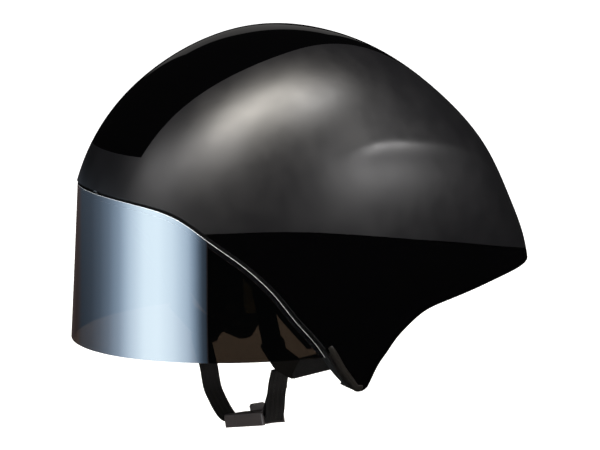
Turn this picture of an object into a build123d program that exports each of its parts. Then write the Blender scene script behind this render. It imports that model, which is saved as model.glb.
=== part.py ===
from build123d import *
import os
from math import atan2, cos, degrees, hypot, pi, radians, sin, sqrt, tan

# Aero time trial helmet with a wrap visor, in millimetres.
# Front is minus Y, the wearer's left is plus X, and up is plus Z.
# The origin is the head's centre in the plane of the brow.

# Outer form: ribs on planes that fan about a crosswise line under the head
fan_centre_y = 20.0
fan_centre_z = -260.0
form_base_z = -150.0
crown_radius = 368.6
form_half_width = 117.8
tuck_share = 0.17
rib_tilts = (-46, -38, -30, -21, -11, 0, 11, 22, 31, 39, 46, 53, 60)
crown_shares = (0.543, 0.623, 0.768, 0.886, 0.958, 1.0, 0.986, 0.934, 0.885, 0.832, 0.794, 0.748, 0.707)
width_shares = (0.573, 0.733, 0.836, 0.917, 0.978, 1.0, 0.955, 0.868, 0.754, 0.644, 0.535, 0.447, 0.366)
rib_fullness = (2.2, 2.15, 2.1, 2.3, 2.5, 2.5, 2.6, 2.7, 2.85, 2.9, 2.9, 2.7, 2.5)
rib_angles = (0, 14, 28, 42, 56, 70, 80, 90)

# Edges of the shell as seen from the side, as shares of the shell's length and of the tips' depth
shell_length = 344.0
tip_depth = 140.0
face_edge_shares = (
    (-0.390, 0.036), (-0.335, 0.030), (-0.303, 0.015), (-0.277, -0.005), (-0.250, -0.042),
    (-0.214, -0.119), (-0.153, -0.244), (-0.114, -0.331), (-0.075, -0.433), (-0.032, -0.564),
    (0.033, -0.745), (0.066, -0.865), (0.101, -0.967),
)
tip_bottom_shares = (0.122, -1.0)
nape_edge_shares = (
    (0.147, -0.986), (0.158, -0.935), (0.174, -0.869), (0.192, -0.821), (0.214, -0.761),
    (0.244, -0.707), (0.288, -0.652), (0.350, -0.626), (0.445, -0.602), (0.535, -0.576),
    (0.620, -0.556), (0.730, -0.520),
)
parting_shares = (
    (-0.300, -0.118), (-0.214, -0.119), (-0.148, -0.117), (-0.029, -0.132), (0.058, -0.161),
    (0.157, -0.204), (0.265, -0.257), (0.387, -0.321), (0.526, -0.404), (0.613, -0.457),
    (0.730, -0.530),
)

# Shells, trim and foam
shell_wall = 1.2
parting_gap = 0.4
foam_gap = 0.2
cover_wall = 1.6
trim_width = 5.0
trim_thickness = 7.0
trim_top_z = -103.0

# Head cavity: a spheroid dome over an upright oval
cavity_half_width = 84.0
cavity_half_length = 104.0
cavity_centre_y = 3.0
cavity_spring_z = -6.0

# Visor: a lens between two ovals
visor_wall = 2.0
visor_bottom_z = -110.5
visor_front_rise = 4.3
visor_centre_y = 15.0
visor_low_half_width = 98.0
visor_low_half_length = 143.0
visor_brow_half_width = 117.0
visor_brow_half_length = 132.0
visor_edge_gap = 2.5
ledge_gap = 1.6
ledge_wall = 2.0
ledge_width = 8.0
magnet_radius = 3.0
magnet_clearance = 0.4
magnet_recess = 0.1
brow_magnet_point = 1
side_magnet_point = 7

# Cover under the tail, from a point of the nape edge to its rear end
tail_cover_start = 6

# Slip liner and comfort pads
liner_gap = 0.8
liner_wall = 1.0
liner_low_z = -12.0
liner_edge_gap = 4.0
pad_gap = 0.3
pad_thickness = 4.5
pin_radius = 3.0
pin_slot_radius = 10.5
pin_depth = 6.0
pin_turns = (40, 140, 220, 320)
pin_lift = 45
brow_pad_half_width = 62.0
brow_pad_low_z = 8.0
brow_pad_high_z = 30.0
crown_pad_half_width = 24.0
crown_pad_half_length = 52.0
side_pad_length = 78.0
side_pad_height = 30.0
side_pad_centre_y = 12.0
side_pad_centre_z = 14.0
pad_corner = 8.0
ear_pad_length = 14.0
ear_pad_height = 60.0
ear_pad_centre_y = 51.0
ear_pad_centre_z = -90.0
ear_pad_corner = 4.0

# Fit ring, on a plane that falls towards the nape
ring_tilt = 30.0
ring_centre_z = -48.0
ring_clearance = 6.8
ring_half_width = cavity_half_width - ring_clearance
ring_half_length = cavity_half_length - ring_clearance
ring_angles = (-9, 5, 19, 33)
ring_corner_shares = ((0.74, 0.72), (0.61, 0.865), (0.505, 0.945))
band_wall = 1.6
band_height = 12.6
rack_line_inset = 2.7
rack_line_y = ring_half_length - rack_line_inset
rack_start_x = 33.0
rack_end_x = -6.0
rack_module = 1.0
tooth_reach_share = 0.85
rack_teeth = 6
rack_height = 2.8
pinion_teeth = 10
tooth_tip_share = 0.25
tooth_root_share = 0.85
running_gap = 0.4
shaft_gap = 0.05
cradle_wall = 3.0
cradle_top_half_width = 24.0
cradle_top = 11.0
lobe_half_width = 38.0
lobe_drop = 27.0
lobe_corner = 8.0
cover_depth = 5.7
cover_pocket_depth = 3.1
cradle_pad_length = 24.0
cradle_pad_height = 14.0
cradle_pad_offset = 22.0
cradle_pad_corner = 5.0
pinion_width = 2.4
pinion_shaft_radius = 2.5
dial_radius = 16.0
dial_height = 8.0
dial_ribs = 20
dial_rib_radius = 1.0
dial_edge = 1.2
track_half_width = 8.0
track_wall = 1.2
track_low_z = -50.0
track_high_z = -16.0
track_seat_gap = 0.7
track_seat_y = cavity_centre_y + cavity_half_length - track_seat_gap
height_strip_half_width = 6.0
height_strip_wall = 1.6
height_strip_bend_z = -62.0
height_strip_top_z = -26.0

# Straps, splitters and buckle
strap_width = 15.0
strap_thickness = 1.5
slot_clearance = 0.3
front_stud_y = -28.0
front_stud_z = -52.0
rear_stud_y = 34.0
rear_stud_z = -118.0
strap_clearance = 7.6
stud_plane_x = cavity_half_width - strap_clearance
stud_radius = 2.2
stud_seat_radius = 5.0
stud_seat_depth = 5.0
eyelet_radius = 3.3
strap_swing = 32.0
strap_end_margin = 7.0
splitter_x = 65.5
splitter_y = -4.0
splitter_z = -114.0
splitter_lean = 22.3
splitter_size = 20.0
splitter_corner_shares = (
    (-0.95, 0.54), (-0.15, -0.56), (0.70, -1.13), (0.95, -0.40), (0.05, 0.35), (-0.12, 0.86),
)
front_arm_shares = (-0.42, 0.42)
rear_arm_shares = (0.55, -0.72)
chin_arm_shares = (0.12, -0.62)
splitter_thickness = 4.4
splitter_fillet = 2.5
left_chin_bend = (46.8, 3.0, -147.0)
right_chin_bend = (-60.0, 4.5, -150.0)
right_chin_low = (-51.0, 5.0, -171.0)
chin_steps = 12
wrap_steps = 8
buckle_split = (-1.4, 5.0, -178.7)
buckle_tilt = 16.0
buckle_gap = 0.3
buckle_left_length = 42.0
buckle_right_length = 18.0
buckle_width = 19.0
buckle_height = 10.0
buckle_fillet = 2.0
buckle_window = 10.0
strap_set_share = 0.8
bar_radius = 1.8
bar_inset = 2.5
strap_tail = 26.0
buckle_magnet_radius = 3.0
buckle_magnet_thickness = 2.0
pull_tab_thickness = 2.2
pull_tab_width = 12.0
pull_tab_height = 6.0
pull_tab_run = 19.4
pull_tab_taper = 4.0

# One overrun serves every cut
over = 20.0


def side_points(shares):
    return [(y * shell_length, z * tip_depth) for y, z in shares]


def shifted(points, distance):
    """Moves each point of a line square to it, to the left of its direction."""
    moved = []
    for i, (y, z) in enumerate(points):
        before = points[max(i - 1, 0)]
        after = points[min(i + 1, len(points) - 1)]
        dy, dz = after[0] - before[0], after[1] - before[1]
        length = hypot(dy, dz)
        moved.append((y - dz / length * distance, z + dy / length * distance))
    return moved


def form_solid(inset):
    """The whole outer form, drawn in by the inset."""
    with BuildPart() as form:
        for tilt, crown, width, full in zip(rib_tilts, crown_shares, width_shares, rib_fullness):
            lean = radians(tilt)
            plane = Plane(
                origin=(0, fan_centre_y, fan_centre_z), x_dir=(1, 0, 0), z_dir=(0, -cos(lean), sin(lean))
            )
            base = (form_base_z - fan_centre_z) / cos(lean)
            rise = crown * crown_radius - inset - base
            half = []
            for angle in rib_angles:
                up = sin(radians(angle)) ** (2 / full)
                out = cos(radians(angle)) ** (2 / full) if angle < 90 else 0
                x = (width * form_half_width - inset) * out * (1 - tuck_share * (1 - up) ** 2)
                half.append((x, base + rise * up))
            mirrored = [(-x, r) for x, r in reversed(half[:-1])]
            with BuildSketch(plane):
                with BuildLine():
                    Spline(*half, *mirrored)
                    Line(mirrored[-1], half[0])
                make_face()
        loft()
    return form.part


def side_prism(sketch_lines, x_low, x_high):
    """A block across the helmet whose side outline is drawn by sketch_lines."""
    with BuildPart() as prism:
        with BuildSketch(Plane.YZ.offset(x_low)):
            with BuildLine():
                sketch_lines()
            make_face()
        extrude(amount=x_high - x_low)
    return prism.part


face_edge = side_points(face_edge_shares)
tip_bottom = (tip_bottom_shares[0] * shell_length, tip_bottom_shares[1] * tip_depth)
nape_edge = side_points(nape_edge_shares)
parting = side_points(parting_shares)
top_z = fan_centre_z + crown_radius + over
rear_y = nape_edge[-1][0]
front_y = face_edge[0][0]
half_span = form_half_width + over


def body_outline():
    Spline(*face_edge)
    ThreePointArc(face_edge[-1], tip_bottom, nape_edge[0])
    Spline(*nape_edge)
    Polyline(nape_edge[-1], (rear_y, top_z), (front_y, top_z), face_edge[0])


def above_parting():
    line = shifted(parting, parting_gap / 2)
    Spline(*line)
    front = line[0][0] - over
    Polyline(line[-1], (line[-1][0], top_z), (front, top_z), (front, line[0][1]), line[0])


def below_parting():
    line = shifted(parting, -parting_gap / 2)
    Spline(*line)
    Polyline(line[-1], (line[-1][0], form_base_z), (line[0][0], form_base_z), line[0])


def level_block(middle_z):
    """A block wider than the helmet, half_span deep above and below middle_z."""
    return Pos(0, 0, middle_z) * Box(4 * half_span, 4 * half_span, 2 * half_span, mode=Mode.PRIVATE)


def finish(part, label):
    part.label = label
    export_step(part, f"parts/{label}.step")


os.makedirs("parts", exist_ok=True)

outer = form_solid(0)
skin_core = form_solid(shell_wall)
foam_form = form_solid(shell_wall + foam_gap)
body_prism = side_prism(body_outline, -half_span, half_span)
upper_prism = side_prism(above_parting, -half_span, half_span)

# The skin that the upper shell and both fairings are cut from
with BuildPart() as skin:
    add(outer)
    add(skin_core, mode=Mode.SUBTRACT)
    add(body_prism, mode=Mode.INTERSECT)

with BuildPart() as upper_shell:
    add(skin)
    add(upper_prism, mode=Mode.INTERSECT)
finish(upper_shell.part, "upper_shell")


def trim_band():
    """The strip along the front edge of the tips, in side view."""
    back = shifted(face_edge, trim_width)
    Spline(*face_edge)
    Line(face_edge[-1], back[-1])
    Spline(*reversed(back))
    Line(back[0], face_edge[0])


trim_space = side_prism(trim_band, -half_span, half_span) & level_block(trim_top_z - half_span)

# The left fairing is cut from the skin, and the right one is its mirror image
with BuildPart() as left_fairing:
    add(skin)
    add(side_prism(below_parting, parting_gap / 2, half_span), mode=Mode.INTERSECT)
    add(trim_space, mode=Mode.SUBTRACT)
finish(left_fairing.part, "left_fairing")
finish(mirror(left_fairing.part, about=Plane.YZ), "right_fairing")

# The rounded lip of each tip's front edge, below the visor's corner
with BuildPart() as left_edge_trim:
    add(outer)
    add(form_solid(trim_thickness), mode=Mode.SUBTRACT)
    add(body_prism, mode=Mode.INTERSECT)
    add(trim_space, mode=Mode.INTERSECT)
    split(bisect_by=Plane.YZ, keep=Keep.TOP)
finish(left_edge_trim.part, "left_edge_trim")
right_edge_trim = mirror(left_edge_trim.part, about=Plane.YZ)
finish(right_edge_trim, "right_edge_trim")


def cavity_solid(inset):
    """The head cavity, drawn in by the inset: a spheroid dome over an upright oval."""
    half_width = cavity_half_width - inset
    half_length = cavity_half_length - inset
    with BuildPart() as space:
        Sphere(half_width, arc_size1=0, align=(Align.CENTER, Align.CENTER, Align.MIN))
        Cylinder(half_width, cavity_spring_z + over - form_base_z, align=(Align.CENTER, Align.CENTER, Align.MAX))
        scale(by=(1, half_length / half_width, 1))
    return Pos(0, cavity_centre_y, cavity_spring_z) * space.part


cavity = cavity_solid(0)


def visor_oval(z, inset):
    """Half the width and half the length of the visor's oval at a height, drawn in by the inset."""
    rise = 1 - z / visor_bottom_z
    half_width = visor_low_half_width + (visor_brow_half_width - visor_low_half_width) * rise
    half_length = visor_low_half_length + (visor_brow_half_length - visor_low_half_length) * rise
    return half_width - inset, half_length - inset


def visor_solid(inset):
    """The space inside the visor's outer face, drawn in by the inset."""
    with BuildPart() as block:
        for z in (visor_bottom_z - over, over):
            with BuildSketch(Plane.XY.offset(z)):
                with Locations((0, visor_centre_y)):
                    Ellipse(*visor_oval(z, inset))
        loft(ruled=True)
    return block.part


def visor_outline():
    edge = shifted(face_edge, -visor_edge_gap)
    Spline(*edge)
    front = -shell_length
    Polyline(edge[-1], (edge[-1][0], form_base_z), (front, form_base_z), (front, edge[0][1]), edge[0])


def above_visor_bottom():
    front, rear = -shell_length, visor_centre_y + over
    rise = visor_front_rise / visor_low_half_length
    front_z = visor_bottom_z + rise * (visor_centre_y - front)
    rear_z = visor_bottom_z + rise * (visor_centre_y - rear)
    Polyline((front, front_z), (rear, rear_z), (rear, over), (front, over), (front, front_z))


visor_outer = visor_solid(0)
visor_inner = visor_solid(visor_wall)

with BuildPart() as visor:
    add(visor_outer)
    add(visor_inner, mode=Mode.SUBTRACT)
    add(side_prism(visor_outline, -half_span, half_span), mode=Mode.INTERSECT)
    add(side_prism(above_visor_bottom, -half_span, half_span), mode=Mode.INTERSECT)
finish(visor.part, "visor")


def ledge_band():
    front = shifted(face_edge, -ledge_width)
    Spline(*face_edge)
    Line(face_edge[-1], front[-1])
    Spline(*reversed(front))
    Line(front[0], face_edge[0])


def ledge_seat(point, side):
    """The plane on the ledge's outer face beside a point of the face edge."""
    y, z = shifted(face_edge, -ledge_width / 2)[point]
    half_width, half_length = visor_oval(z, visor_wall + ledge_gap)
    along = -1 if side == 0 else (y - visor_centre_y) / half_length
    x = side * half_width * sqrt(1 - along ** 2)
    y = visor_centre_y + along * half_length
    # How fast the ovals narrow downwards turns the seat a little up or down
    width_slope = (visor_low_half_width - visor_brow_half_width) / visor_bottom_z
    length_slope = (visor_low_half_length - visor_brow_half_length) / visor_bottom_z
    lean = -(x / half_width) ** 2 * width_slope / half_width - along ** 2 * length_slope / half_length
    out = Vector(x / half_width ** 2, along / half_length, lean)
    return Plane(origin=(x, y, z), x_dir=out.cross(Vector(0, 0, 1)), z_dir=out)


magnet_seats = [
    ledge_seat(brow_magnet_point, 0), ledge_seat(side_magnet_point, 1), ledge_seat(side_magnet_point, -1)
]

with BuildPart() as ledge_magnets:
    for seat in magnet_seats:
        with BuildSketch(seat.offset(-magnet_recess)):
            Circle(magnet_radius)
        extrude(amount=magnet_clearance - ledge_wall)

with BuildPart() as visor_ledge:
    add(visor_solid(visor_wall + ledge_gap))
    add(visor_solid(visor_wall + ledge_gap + ledge_wall), mode=Mode.SUBTRACT)
    add(side_prism(ledge_band, -half_span, half_span), mode=Mode.INTERSECT)
    add(level_block(trim_top_z + half_span), mode=Mode.INTERSECT)
    for seat in magnet_seats:
        with BuildSketch(seat.offset(ledge_wall)):
            Circle(magnet_radius)
        extrude(amount=-3 * ledge_wall, mode=Mode.SUBTRACT)
finish(visor_ledge.part, "visor_ledge")
finish(ledge_magnets.part, "ledge_magnets")

with BuildPart() as visor_magnets:
    for seat in magnet_seats:
        with BuildSketch(seat.offset(magnet_clearance)):
            Circle(magnet_radius)
        extrude(amount=ledge_gap - 2 * magnet_clearance)
finish(visor_magnets.part, "visor_magnets")


def tail_band():
    rear_edge = nape_edge[tail_cover_start:]
    above = shifted(rear_edge, cover_wall)
    under = shifted(rear_edge, -cover_wall)
    Spline(*under)
    Line(under[-1], above[-1])
    Spline(*reversed(above))
    Line(above[0], under[0])


tail_space = side_prism(tail_band, -half_span, half_span)
with BuildPart() as tail_cover:
    add(foam_form)
    add(body_prism, mode=Mode.INTERSECT)
    add(tail_space, mode=Mode.INTERSECT)
    add(cavity, mode=Mode.SUBTRACT)
finish(tail_cover.part, "tail_cover")


def wall_x(y, inset=0):
    """Half the cavity's width at y, below the dome."""
    along = (y - cavity_centre_y) / (cavity_half_length - inset)
    return (cavity_half_width - inset) * sqrt(1 - along ** 2)


stud_places = [(front_stud_y, front_stud_z), (rear_stud_y, rear_stud_z)]

# Each strap hangs on a stud whose round foot is set in the foam
with BuildPart() as strap_studs:
    for side in (1, -1):
        for y, z in stud_places:
            seat = Plane(origin=(side * wall_x(y), y, z), x_dir=(0, 1, 0), z_dir=(side, 0, 0))
            with BuildSketch(seat.offset(running_gap)):
                Circle(stud_seat_radius)
            extrude(amount=stud_seat_depth)
            with BuildSketch(seat.offset(running_gap)):
                Circle(stud_radius)
            extrude(amount=stud_plane_x - wall_x(y) - strap_thickness - running_gap)
finish(strap_studs.part, "strap_studs")


def pin_plane(turn, inset):
    """A plane square to the dome at one of the liner's pins, drawn in by the inset."""
    a, b = cavity_half_width - inset, cavity_half_length - inset
    lift = radians(pin_lift)
    x, y, z = a * cos(lift) * sin(radians(turn)), b * cos(lift) * cos(radians(turn)), a * sin(lift)
    return Plane(
        origin=(x, y + cavity_centre_y, z + cavity_spring_z), z_dir=(x / a ** 2, y / b ** 2, z / a ** 2)
    )


liner_inner = liner_gap + liner_wall
with BuildPart() as liner_pins:
    for turn in pin_turns:
        with BuildSketch(pin_plane(turn, liner_inner + pad_gap)):
            Circle(pin_radius)
        extrude(amount=liner_inner + pad_gap + pin_depth)
finish(liner_pins.part, "liner_pins")

with BuildPart() as slip_liner:
    add(cavity_solid(liner_gap))
    add(cavity_solid(liner_inner), mode=Mode.SUBTRACT)
    add(Pos(0, 0, liner_edge_gap) * body_prism, mode=Mode.INTERSECT)
    add(level_block(liner_low_z + half_span), mode=Mode.INTERSECT)
    for turn in pin_turns:
        with BuildSketch(pin_plane(turn, liner_inner + liner_gap)):
            Circle(pin_slot_radius)
        extrude(amount=2 * liner_inner, mode=Mode.SUBTRACT)
finish(slip_liner.part, "slip_liner")

with BuildPart() as pad_layer:
    add(cavity_solid(liner_inner + pad_gap))
    add(cavity_solid(liner_inner + pad_gap + pad_thickness), mode=Mode.SUBTRACT)

with BuildPart() as brow_pad:
    with BuildSketch(Plane.XZ):
        with Locations((0, (brow_pad_low_z + brow_pad_high_z) / 2)):
            RectangleRounded(2 * brow_pad_half_width, brow_pad_high_z - brow_pad_low_z, pad_corner)
    extrude(amount=half_span)
    add(pad_layer, mode=Mode.INTERSECT)
finish(brow_pad.part, "brow_pad")

with BuildPart() as crown_pad:
    with BuildSketch(Plane.XY):
        with Locations((0, cavity_centre_y)):
            Ellipse(crown_pad_half_width, crown_pad_half_length)
    extrude(amount=half_span)
    add(pad_layer, mode=Mode.INTERSECT)
finish(crown_pad.part, "crown_pad")

with BuildPart() as left_side_pad:
    with BuildSketch(Plane.YZ):
        with Locations((side_pad_centre_y, side_pad_centre_z)):
            RectangleRounded(side_pad_length, side_pad_height, pad_corner)
    extrude(amount=half_span)
    add(pad_layer, mode=Mode.INTERSECT)
finish(left_side_pad.part, "left_side_pad")
finish(mirror(left_side_pad.part, about=Plane.YZ), "right_side_pad")

with BuildPart() as left_ear_pad:
    with BuildSketch(Plane.YZ):
        with Locations((ear_pad_centre_y, ear_pad_centre_z)):
            RectangleRounded(ear_pad_length, ear_pad_height, ear_pad_corner)
    extrude(amount=half_span)
    add(cavity_solid(pad_gap), mode=Mode.INTERSECT)
    add(cavity_solid(pad_gap + pad_thickness), mode=Mode.SUBTRACT)
finish(left_ear_pad.part, "left_ear_pad")
finish(mirror(left_ear_pad.part, about=Plane.YZ), "right_ear_pad")



def swing_relief(side):
    """The space that a strap's arms sweep in the foam as it swings out about its two studs."""
    run = Vector(0, rear_stud_y - front_stud_y, rear_stud_z - front_stud_z)
    hinge = run.normalized()
    ahead = Vector(0, hinge.Z, -hinge.Y)
    plane = Plane(origin=(side * stud_plane_x, front_stud_y, front_stud_z), x_dir=ahead, z_dir=hinge)
    outwards = 1 if plane.y_dir.X * side > 0 else -1
    reach = strap_width + strap_end_margin
    depth = reach * tan(radians(strap_swing)) + strap_thickness
    with BuildPart() as wedge:
        with BuildSketch(plane.offset(-strap_width)):
            Polygon((0, 0), (reach, 0), (reach, outwards * depth), (0, outwards * strap_thickness), align=None)
        extrude(amount=run.length + 2 * strap_width)
    return wedge.part


with BuildPart() as foam_core:
    add(foam_form)
    add(body_prism, mode=Mode.INTERSECT)
    add(cavity, mode=Mode.SUBTRACT)
    add(tail_space, mode=Mode.SUBTRACT)
    add(left_edge_trim.part, mode=Mode.SUBTRACT)
    add(right_edge_trim, mode=Mode.SUBTRACT)
    add(strap_studs.part, mode=Mode.SUBTRACT)
    add(liner_pins.part, mode=Mode.SUBTRACT)
    add(swing_relief(1), mode=Mode.SUBTRACT)
    add(swing_relief(-1), mode=Mode.SUBTRACT)
finish(foam_core.part, "foam_core")

# Height track on the foam's rear wall
with BuildPart() as height_track:
    depth = height_strip_wall + 2 * slot_clearance + 2 * track_wall
    with BuildSketch(Plane.XY.offset(track_low_z)):
        with Locations((0, track_seat_y - depth / 2)):
            Rectangle(2 * track_half_width, depth)
            Rectangle(
                2 * (height_strip_half_width + slot_clearance), height_strip_wall + 2 * slot_clearance,
                mode=Mode.SUBTRACT,
            )
    extrude(amount=track_high_z - track_low_z)
finish(height_track.part, "height_track")

ring_fall = radians(ring_tilt)
ring_plane = Plane(origin=(0, 0, ring_centre_z), x_dir=(1, 0, 0), z_dir=(0, sin(ring_fall), cos(ring_fall)))


def dial_plane(distance):
    """A plane across the dial's axis, facing the nape, with its y upwards."""
    return Plane(
        origin=(0, distance * cos(ring_fall), ring_centre_z - distance * sin(ring_fall)),
        x_dir=(-1, 0, 0), z_dir=(0, cos(ring_fall), -sin(ring_fall)),
    )


pitch_radius = rack_module * pinion_teeth / 2
tooth_pitch = pi * rack_module
tooth_reach = tooth_reach_share * rack_module
rack_root = pitch_radius + rack_module
# The cradle's wide lower part stays below the lower rack
cradle_waist = -(rack_root + rack_height + running_gap)
cradle_front = rack_line_y - band_wall / 2 - running_gap - cradle_wall
cradle_back = cradle_front + cradle_wall
strip_y = track_seat_y - track_wall - slot_clearance - height_strip_wall / 2

with BuildPart() as fit_cradle:
    with BuildSketch(dial_plane(cradle_front)):
        with Locations((0, (cradle_top - lobe_drop) / 2)):
            Rectangle(2 * cradle_top_half_width, cradle_top + lobe_drop)
        with Locations((0, (cradle_waist - lobe_drop) / 2)):
            RectangleRounded(2 * lobe_half_width, lobe_drop + cradle_waist, lobe_corner)
    extrude(amount=cradle_wall)
    # The upright strip that rides in the track
    root = dial_plane(cradle_front + cradle_wall / 2).origin + Vector(
        0, (cradle_top - cradle_wall) * sin(ring_fall), (cradle_top - cradle_wall) * cos(ring_fall)
    )
    with BuildSketch(Plane.YZ.offset(-height_strip_half_width)):
        with BuildLine():
            Polyline((root.Y, root.Z), (strip_y, height_strip_bend_z), (strip_y, height_strip_top_z))
        trace(line_width=height_strip_wall)
    extrude(amount=2 * height_strip_half_width)
finish(fit_cradle.part, "fit_cradle")

with BuildPart() as cradle_pads:
    with BuildSketch(dial_plane(cradle_front)):
        pad_y = (cradle_waist - lobe_drop) / 2
        with Locations((-cradle_pad_offset, pad_y), (cradle_pad_offset, pad_y)):
            RectangleRounded(cradle_pad_length, cradle_pad_height, cradle_pad_corner)
    extrude(amount=-pad_thickness)
finish(cradle_pads.part, "cradle_pads")

with BuildPart() as dial_cover:
    with BuildSketch(dial_plane(cradle_back)):
        Rectangle(2 * cradle_top_half_width, 2 * cradle_top)
    extrude(amount=cover_depth)
    with BuildSketch(dial_plane(cradle_back)):
        Rectangle(2 * cradle_top_half_width, 2 * (cradle_top - band_wall))
    extrude(amount=cover_pocket_depth, mode=Mode.SUBTRACT)
    with BuildSketch(dial_plane(cradle_back)):
        Circle(pinion_shaft_radius + shaft_gap)
    extrude(amount=cover_depth, mode=Mode.SUBTRACT)
finish(dial_cover.part, "dial_cover")



def tooth(base, tip):
    """One straight-sided tooth that points along plus Y, as the corners of its outline."""
    root, end = tooth_root_share * rack_module, tooth_tip_share * rack_module
    return [(-root, base), (root, base), (end, tip), (-end, tip)]


with BuildPart() as dial_pinion:
    with BuildSketch(dial_plane(cradle_back + running_gap)):
        Circle(pitch_radius - tooth_reach)
        with PolarLocations(0, pinion_teeth):
            Polygon(*tooth(pitch_radius - rack_module, pitch_radius + tooth_reach), align=None)
    extrude(amount=pinion_width)
    with BuildSketch(dial_plane(cradle_back + running_gap)):
        Circle(pinion_shaft_radius)
    extrude(amount=cover_depth + dial_height / 2)
finish(dial_pinion.part, "dial_pinion")

with BuildPart() as fit_dial:
    with BuildSketch(dial_plane(cradle_back + cover_depth + running_gap)):
        Circle(dial_radius)
    extrude(amount=dial_height)
    chamfer(fit_dial.faces().sort_by(Axis(ring_plane.origin, ring_plane.y_dir))[-1].edges(), dial_edge)
    with BuildSketch(dial_plane(cradle_back + cover_depth + running_gap)):
        with PolarLocations(dial_radius, dial_ribs):
            Circle(dial_rib_radius)
    extrude(amount=dial_height - dial_edge)
    add(dial_pinion.part, mode=Mode.SUBTRACT)
finish(fit_dial.part, "fit_dial")

with BuildPart() as left_band:
    ring_points = [
        (ring_half_width * cos(radians(t)), ring_half_length * sin(radians(t))) for t in ring_angles
    ]
    ring_points += [(x * ring_half_width, y * ring_half_length) for x, y in ring_corner_shares]
    with BuildSketch(ring_plane.offset(-band_height / 2)):
        with BuildLine():
            Spline(*ring_points, (rack_start_x, rack_line_y), tangents=((0, 1), (-1, 0)))
        trace(line_width=band_wall)
    extrude(amount=band_height)
    with BuildSketch(ring_plane.offset(rack_root)):
        with BuildLine():
            Polyline(ring_points[-1], (rack_start_x, rack_line_y), (rack_end_x, rack_line_y))
        trace(line_width=band_wall)
    extrude(amount=rack_height)
    with BuildSketch(dial_plane(rack_line_y - band_wall / 2)):
        for k in range(rack_teeth):
            with Locations((-tooth_pitch * (k - 0.5), 0)):
                Polygon(*tooth(rack_root + rack_height / 2, pitch_radius - tooth_reach), align=None)
    extrude(amount=band_wall)
finish(left_band.part, "left_band")
dial_axis = Axis(dial_plane(0).origin, dial_plane(0).z_dir)
finish(left_band.part.rotate(dial_axis, 180), "right_band")


def ribbon(stations, width, thickness):
    """Flat webbing through the stations, each a point and the way across the webbing there."""
    with BuildPart() as strap:
        for i, (point, across) in enumerate(stations):
            before = Vector(*stations[max(i - 1, 0)][0])
            after = Vector(*stations[min(i + 1, len(stations) - 1)][0])
            run = (after - before).normalized()
            flat = (across - run * across.dot(run)).normalized()
            with BuildSketch(Plane(origin=point, x_dir=flat, z_dir=run)):
                Rectangle(width, thickness)
        loft(ruled=True)
    return strap.part


splitter_plane = Plane(
    origin=(splitter_x, splitter_y, splitter_z), x_dir=(0, 1, 0),
    z_dir=(cos(radians(splitter_lean)), 0, -sin(radians(splitter_lean))),
)


def on_splitter(y_share, z_share):
    return tuple(splitter_plane.from_local_coords((y_share * splitter_size, z_share * splitter_size, 0)))


front_stud = (stud_plane_x, front_stud_y, front_stud_z)
rear_stud = (stud_plane_x, rear_stud_y, rear_stud_z)


def arm_stations(stud, end):
    """A straight arm from a stud to the splitter, with a margin past its eyelet."""
    run = Vector(*end) - Vector(*stud)
    across = Vector(1, 0, 0).cross(run)
    level = Vector(0, run.Y, run.Z).normalized()
    past = tuple(Vector(*stud) - level * strap_end_margin)
    before = tuple(Vector(*stud) + level * eyelet_radius)
    return [(past, across), (before, across), (end, across)]


def flipped(stations):
    """The same stations on the wearer's right."""
    return [((-x, y, z), Vector(-across.X, across.Y, across.Z)) for (x, y, z), across in stations]


buckle_lean = radians(buckle_tilt)
buckle_plane = Plane(
    origin=buckle_split, x_dir=(cos(buckle_lean), 0, sin(buckle_lean)), z_dir=(-sin(buckle_lean), 0, cos(buckle_lean))
)


def along_buckle(run):
    """A point on the buckle's centre line, measured from where its halves meet."""
    return buckle_plane.from_local_coords(Vector(run, 0, 0))


bar_run = buckle_left_length - bar_inset
bar = along_buckle(bar_run)
wrap_radius = bar_radius + slot_clearance + strap_thickness / 2
across_y = Vector(0, 1, 0)
chin_start = on_splitter(*chin_arm_shares)
bar_entry = Vector(left_chin_bend[0] - bar.X, 0, left_chin_bend[2] - bar.Z).normalized()
entry_point = (bar.X + bar_entry.Z * wrap_radius, bar.Y, bar.Z - bar_entry.X * wrap_radius)
exit_point = (bar.X - bar_entry.Z * wrap_radius, bar.Y, bar.Z + bar_entry.X * wrap_radius)


def smooth_run(points, start_way, end_way, count):
    """Stations spaced along a smooth line through the points, with the webbing's width along Y."""
    line = Spline(*points, tangents=(start_way, end_way), mode=Mode.PRIVATE)
    return [(tuple(line @ (i / count)), across_y) for i in range(count + 1)]


down_splitter = splitter_plane.y_dir * -1
left_run = smooth_run([chin_start, left_chin_bend, entry_point], down_splitter, bar_entry * -1, chin_steps)
wrap_start = degrees(atan2(-bar_entry.X, bar_entry.Z))
wrap = []
for step in range(1, wrap_steps):
    angle = radians(wrap_start - 180 * step / wrap_steps)
    wrap.append(((bar.X + wrap_radius * cos(angle), bar.Y, bar.Z + wrap_radius * sin(angle)), across_y))
tail_end = (exit_point[0] + bar_entry.X * strap_tail, bar.Y, exit_point[2] + bar_entry.Z * strap_tail)
left_run += wrap + [(exit_point, across_y), (tail_end, across_y)]

right_end = tuple(along_buckle(-buckle_right_length * strap_set_share))
right_entry = tuple(along_buckle(-buckle_right_length - strap_thickness))
right_start = (-chin_start[0], chin_start[1], chin_start[2])
right_points = [right_start, right_chin_bend, right_chin_low, right_entry]
down_right_splitter = Vector(-down_splitter.X, down_splitter.Y, down_splitter.Z)
right_run = smooth_run(right_points, down_right_splitter, buckle_plane.x_dir, chin_steps)
right_run.append((right_end, across_y))

arms = {
    "front": arm_stations(front_stud, on_splitter(*front_arm_shares)),
    "rear": arm_stations(rear_stud, on_splitter(*rear_arm_shares)),
}
chins = {"left": left_run, "right": right_run}
slot_width = strap_width + 2 * slot_clearance
slot_depth = strap_thickness + 2 * slot_clearance

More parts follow.
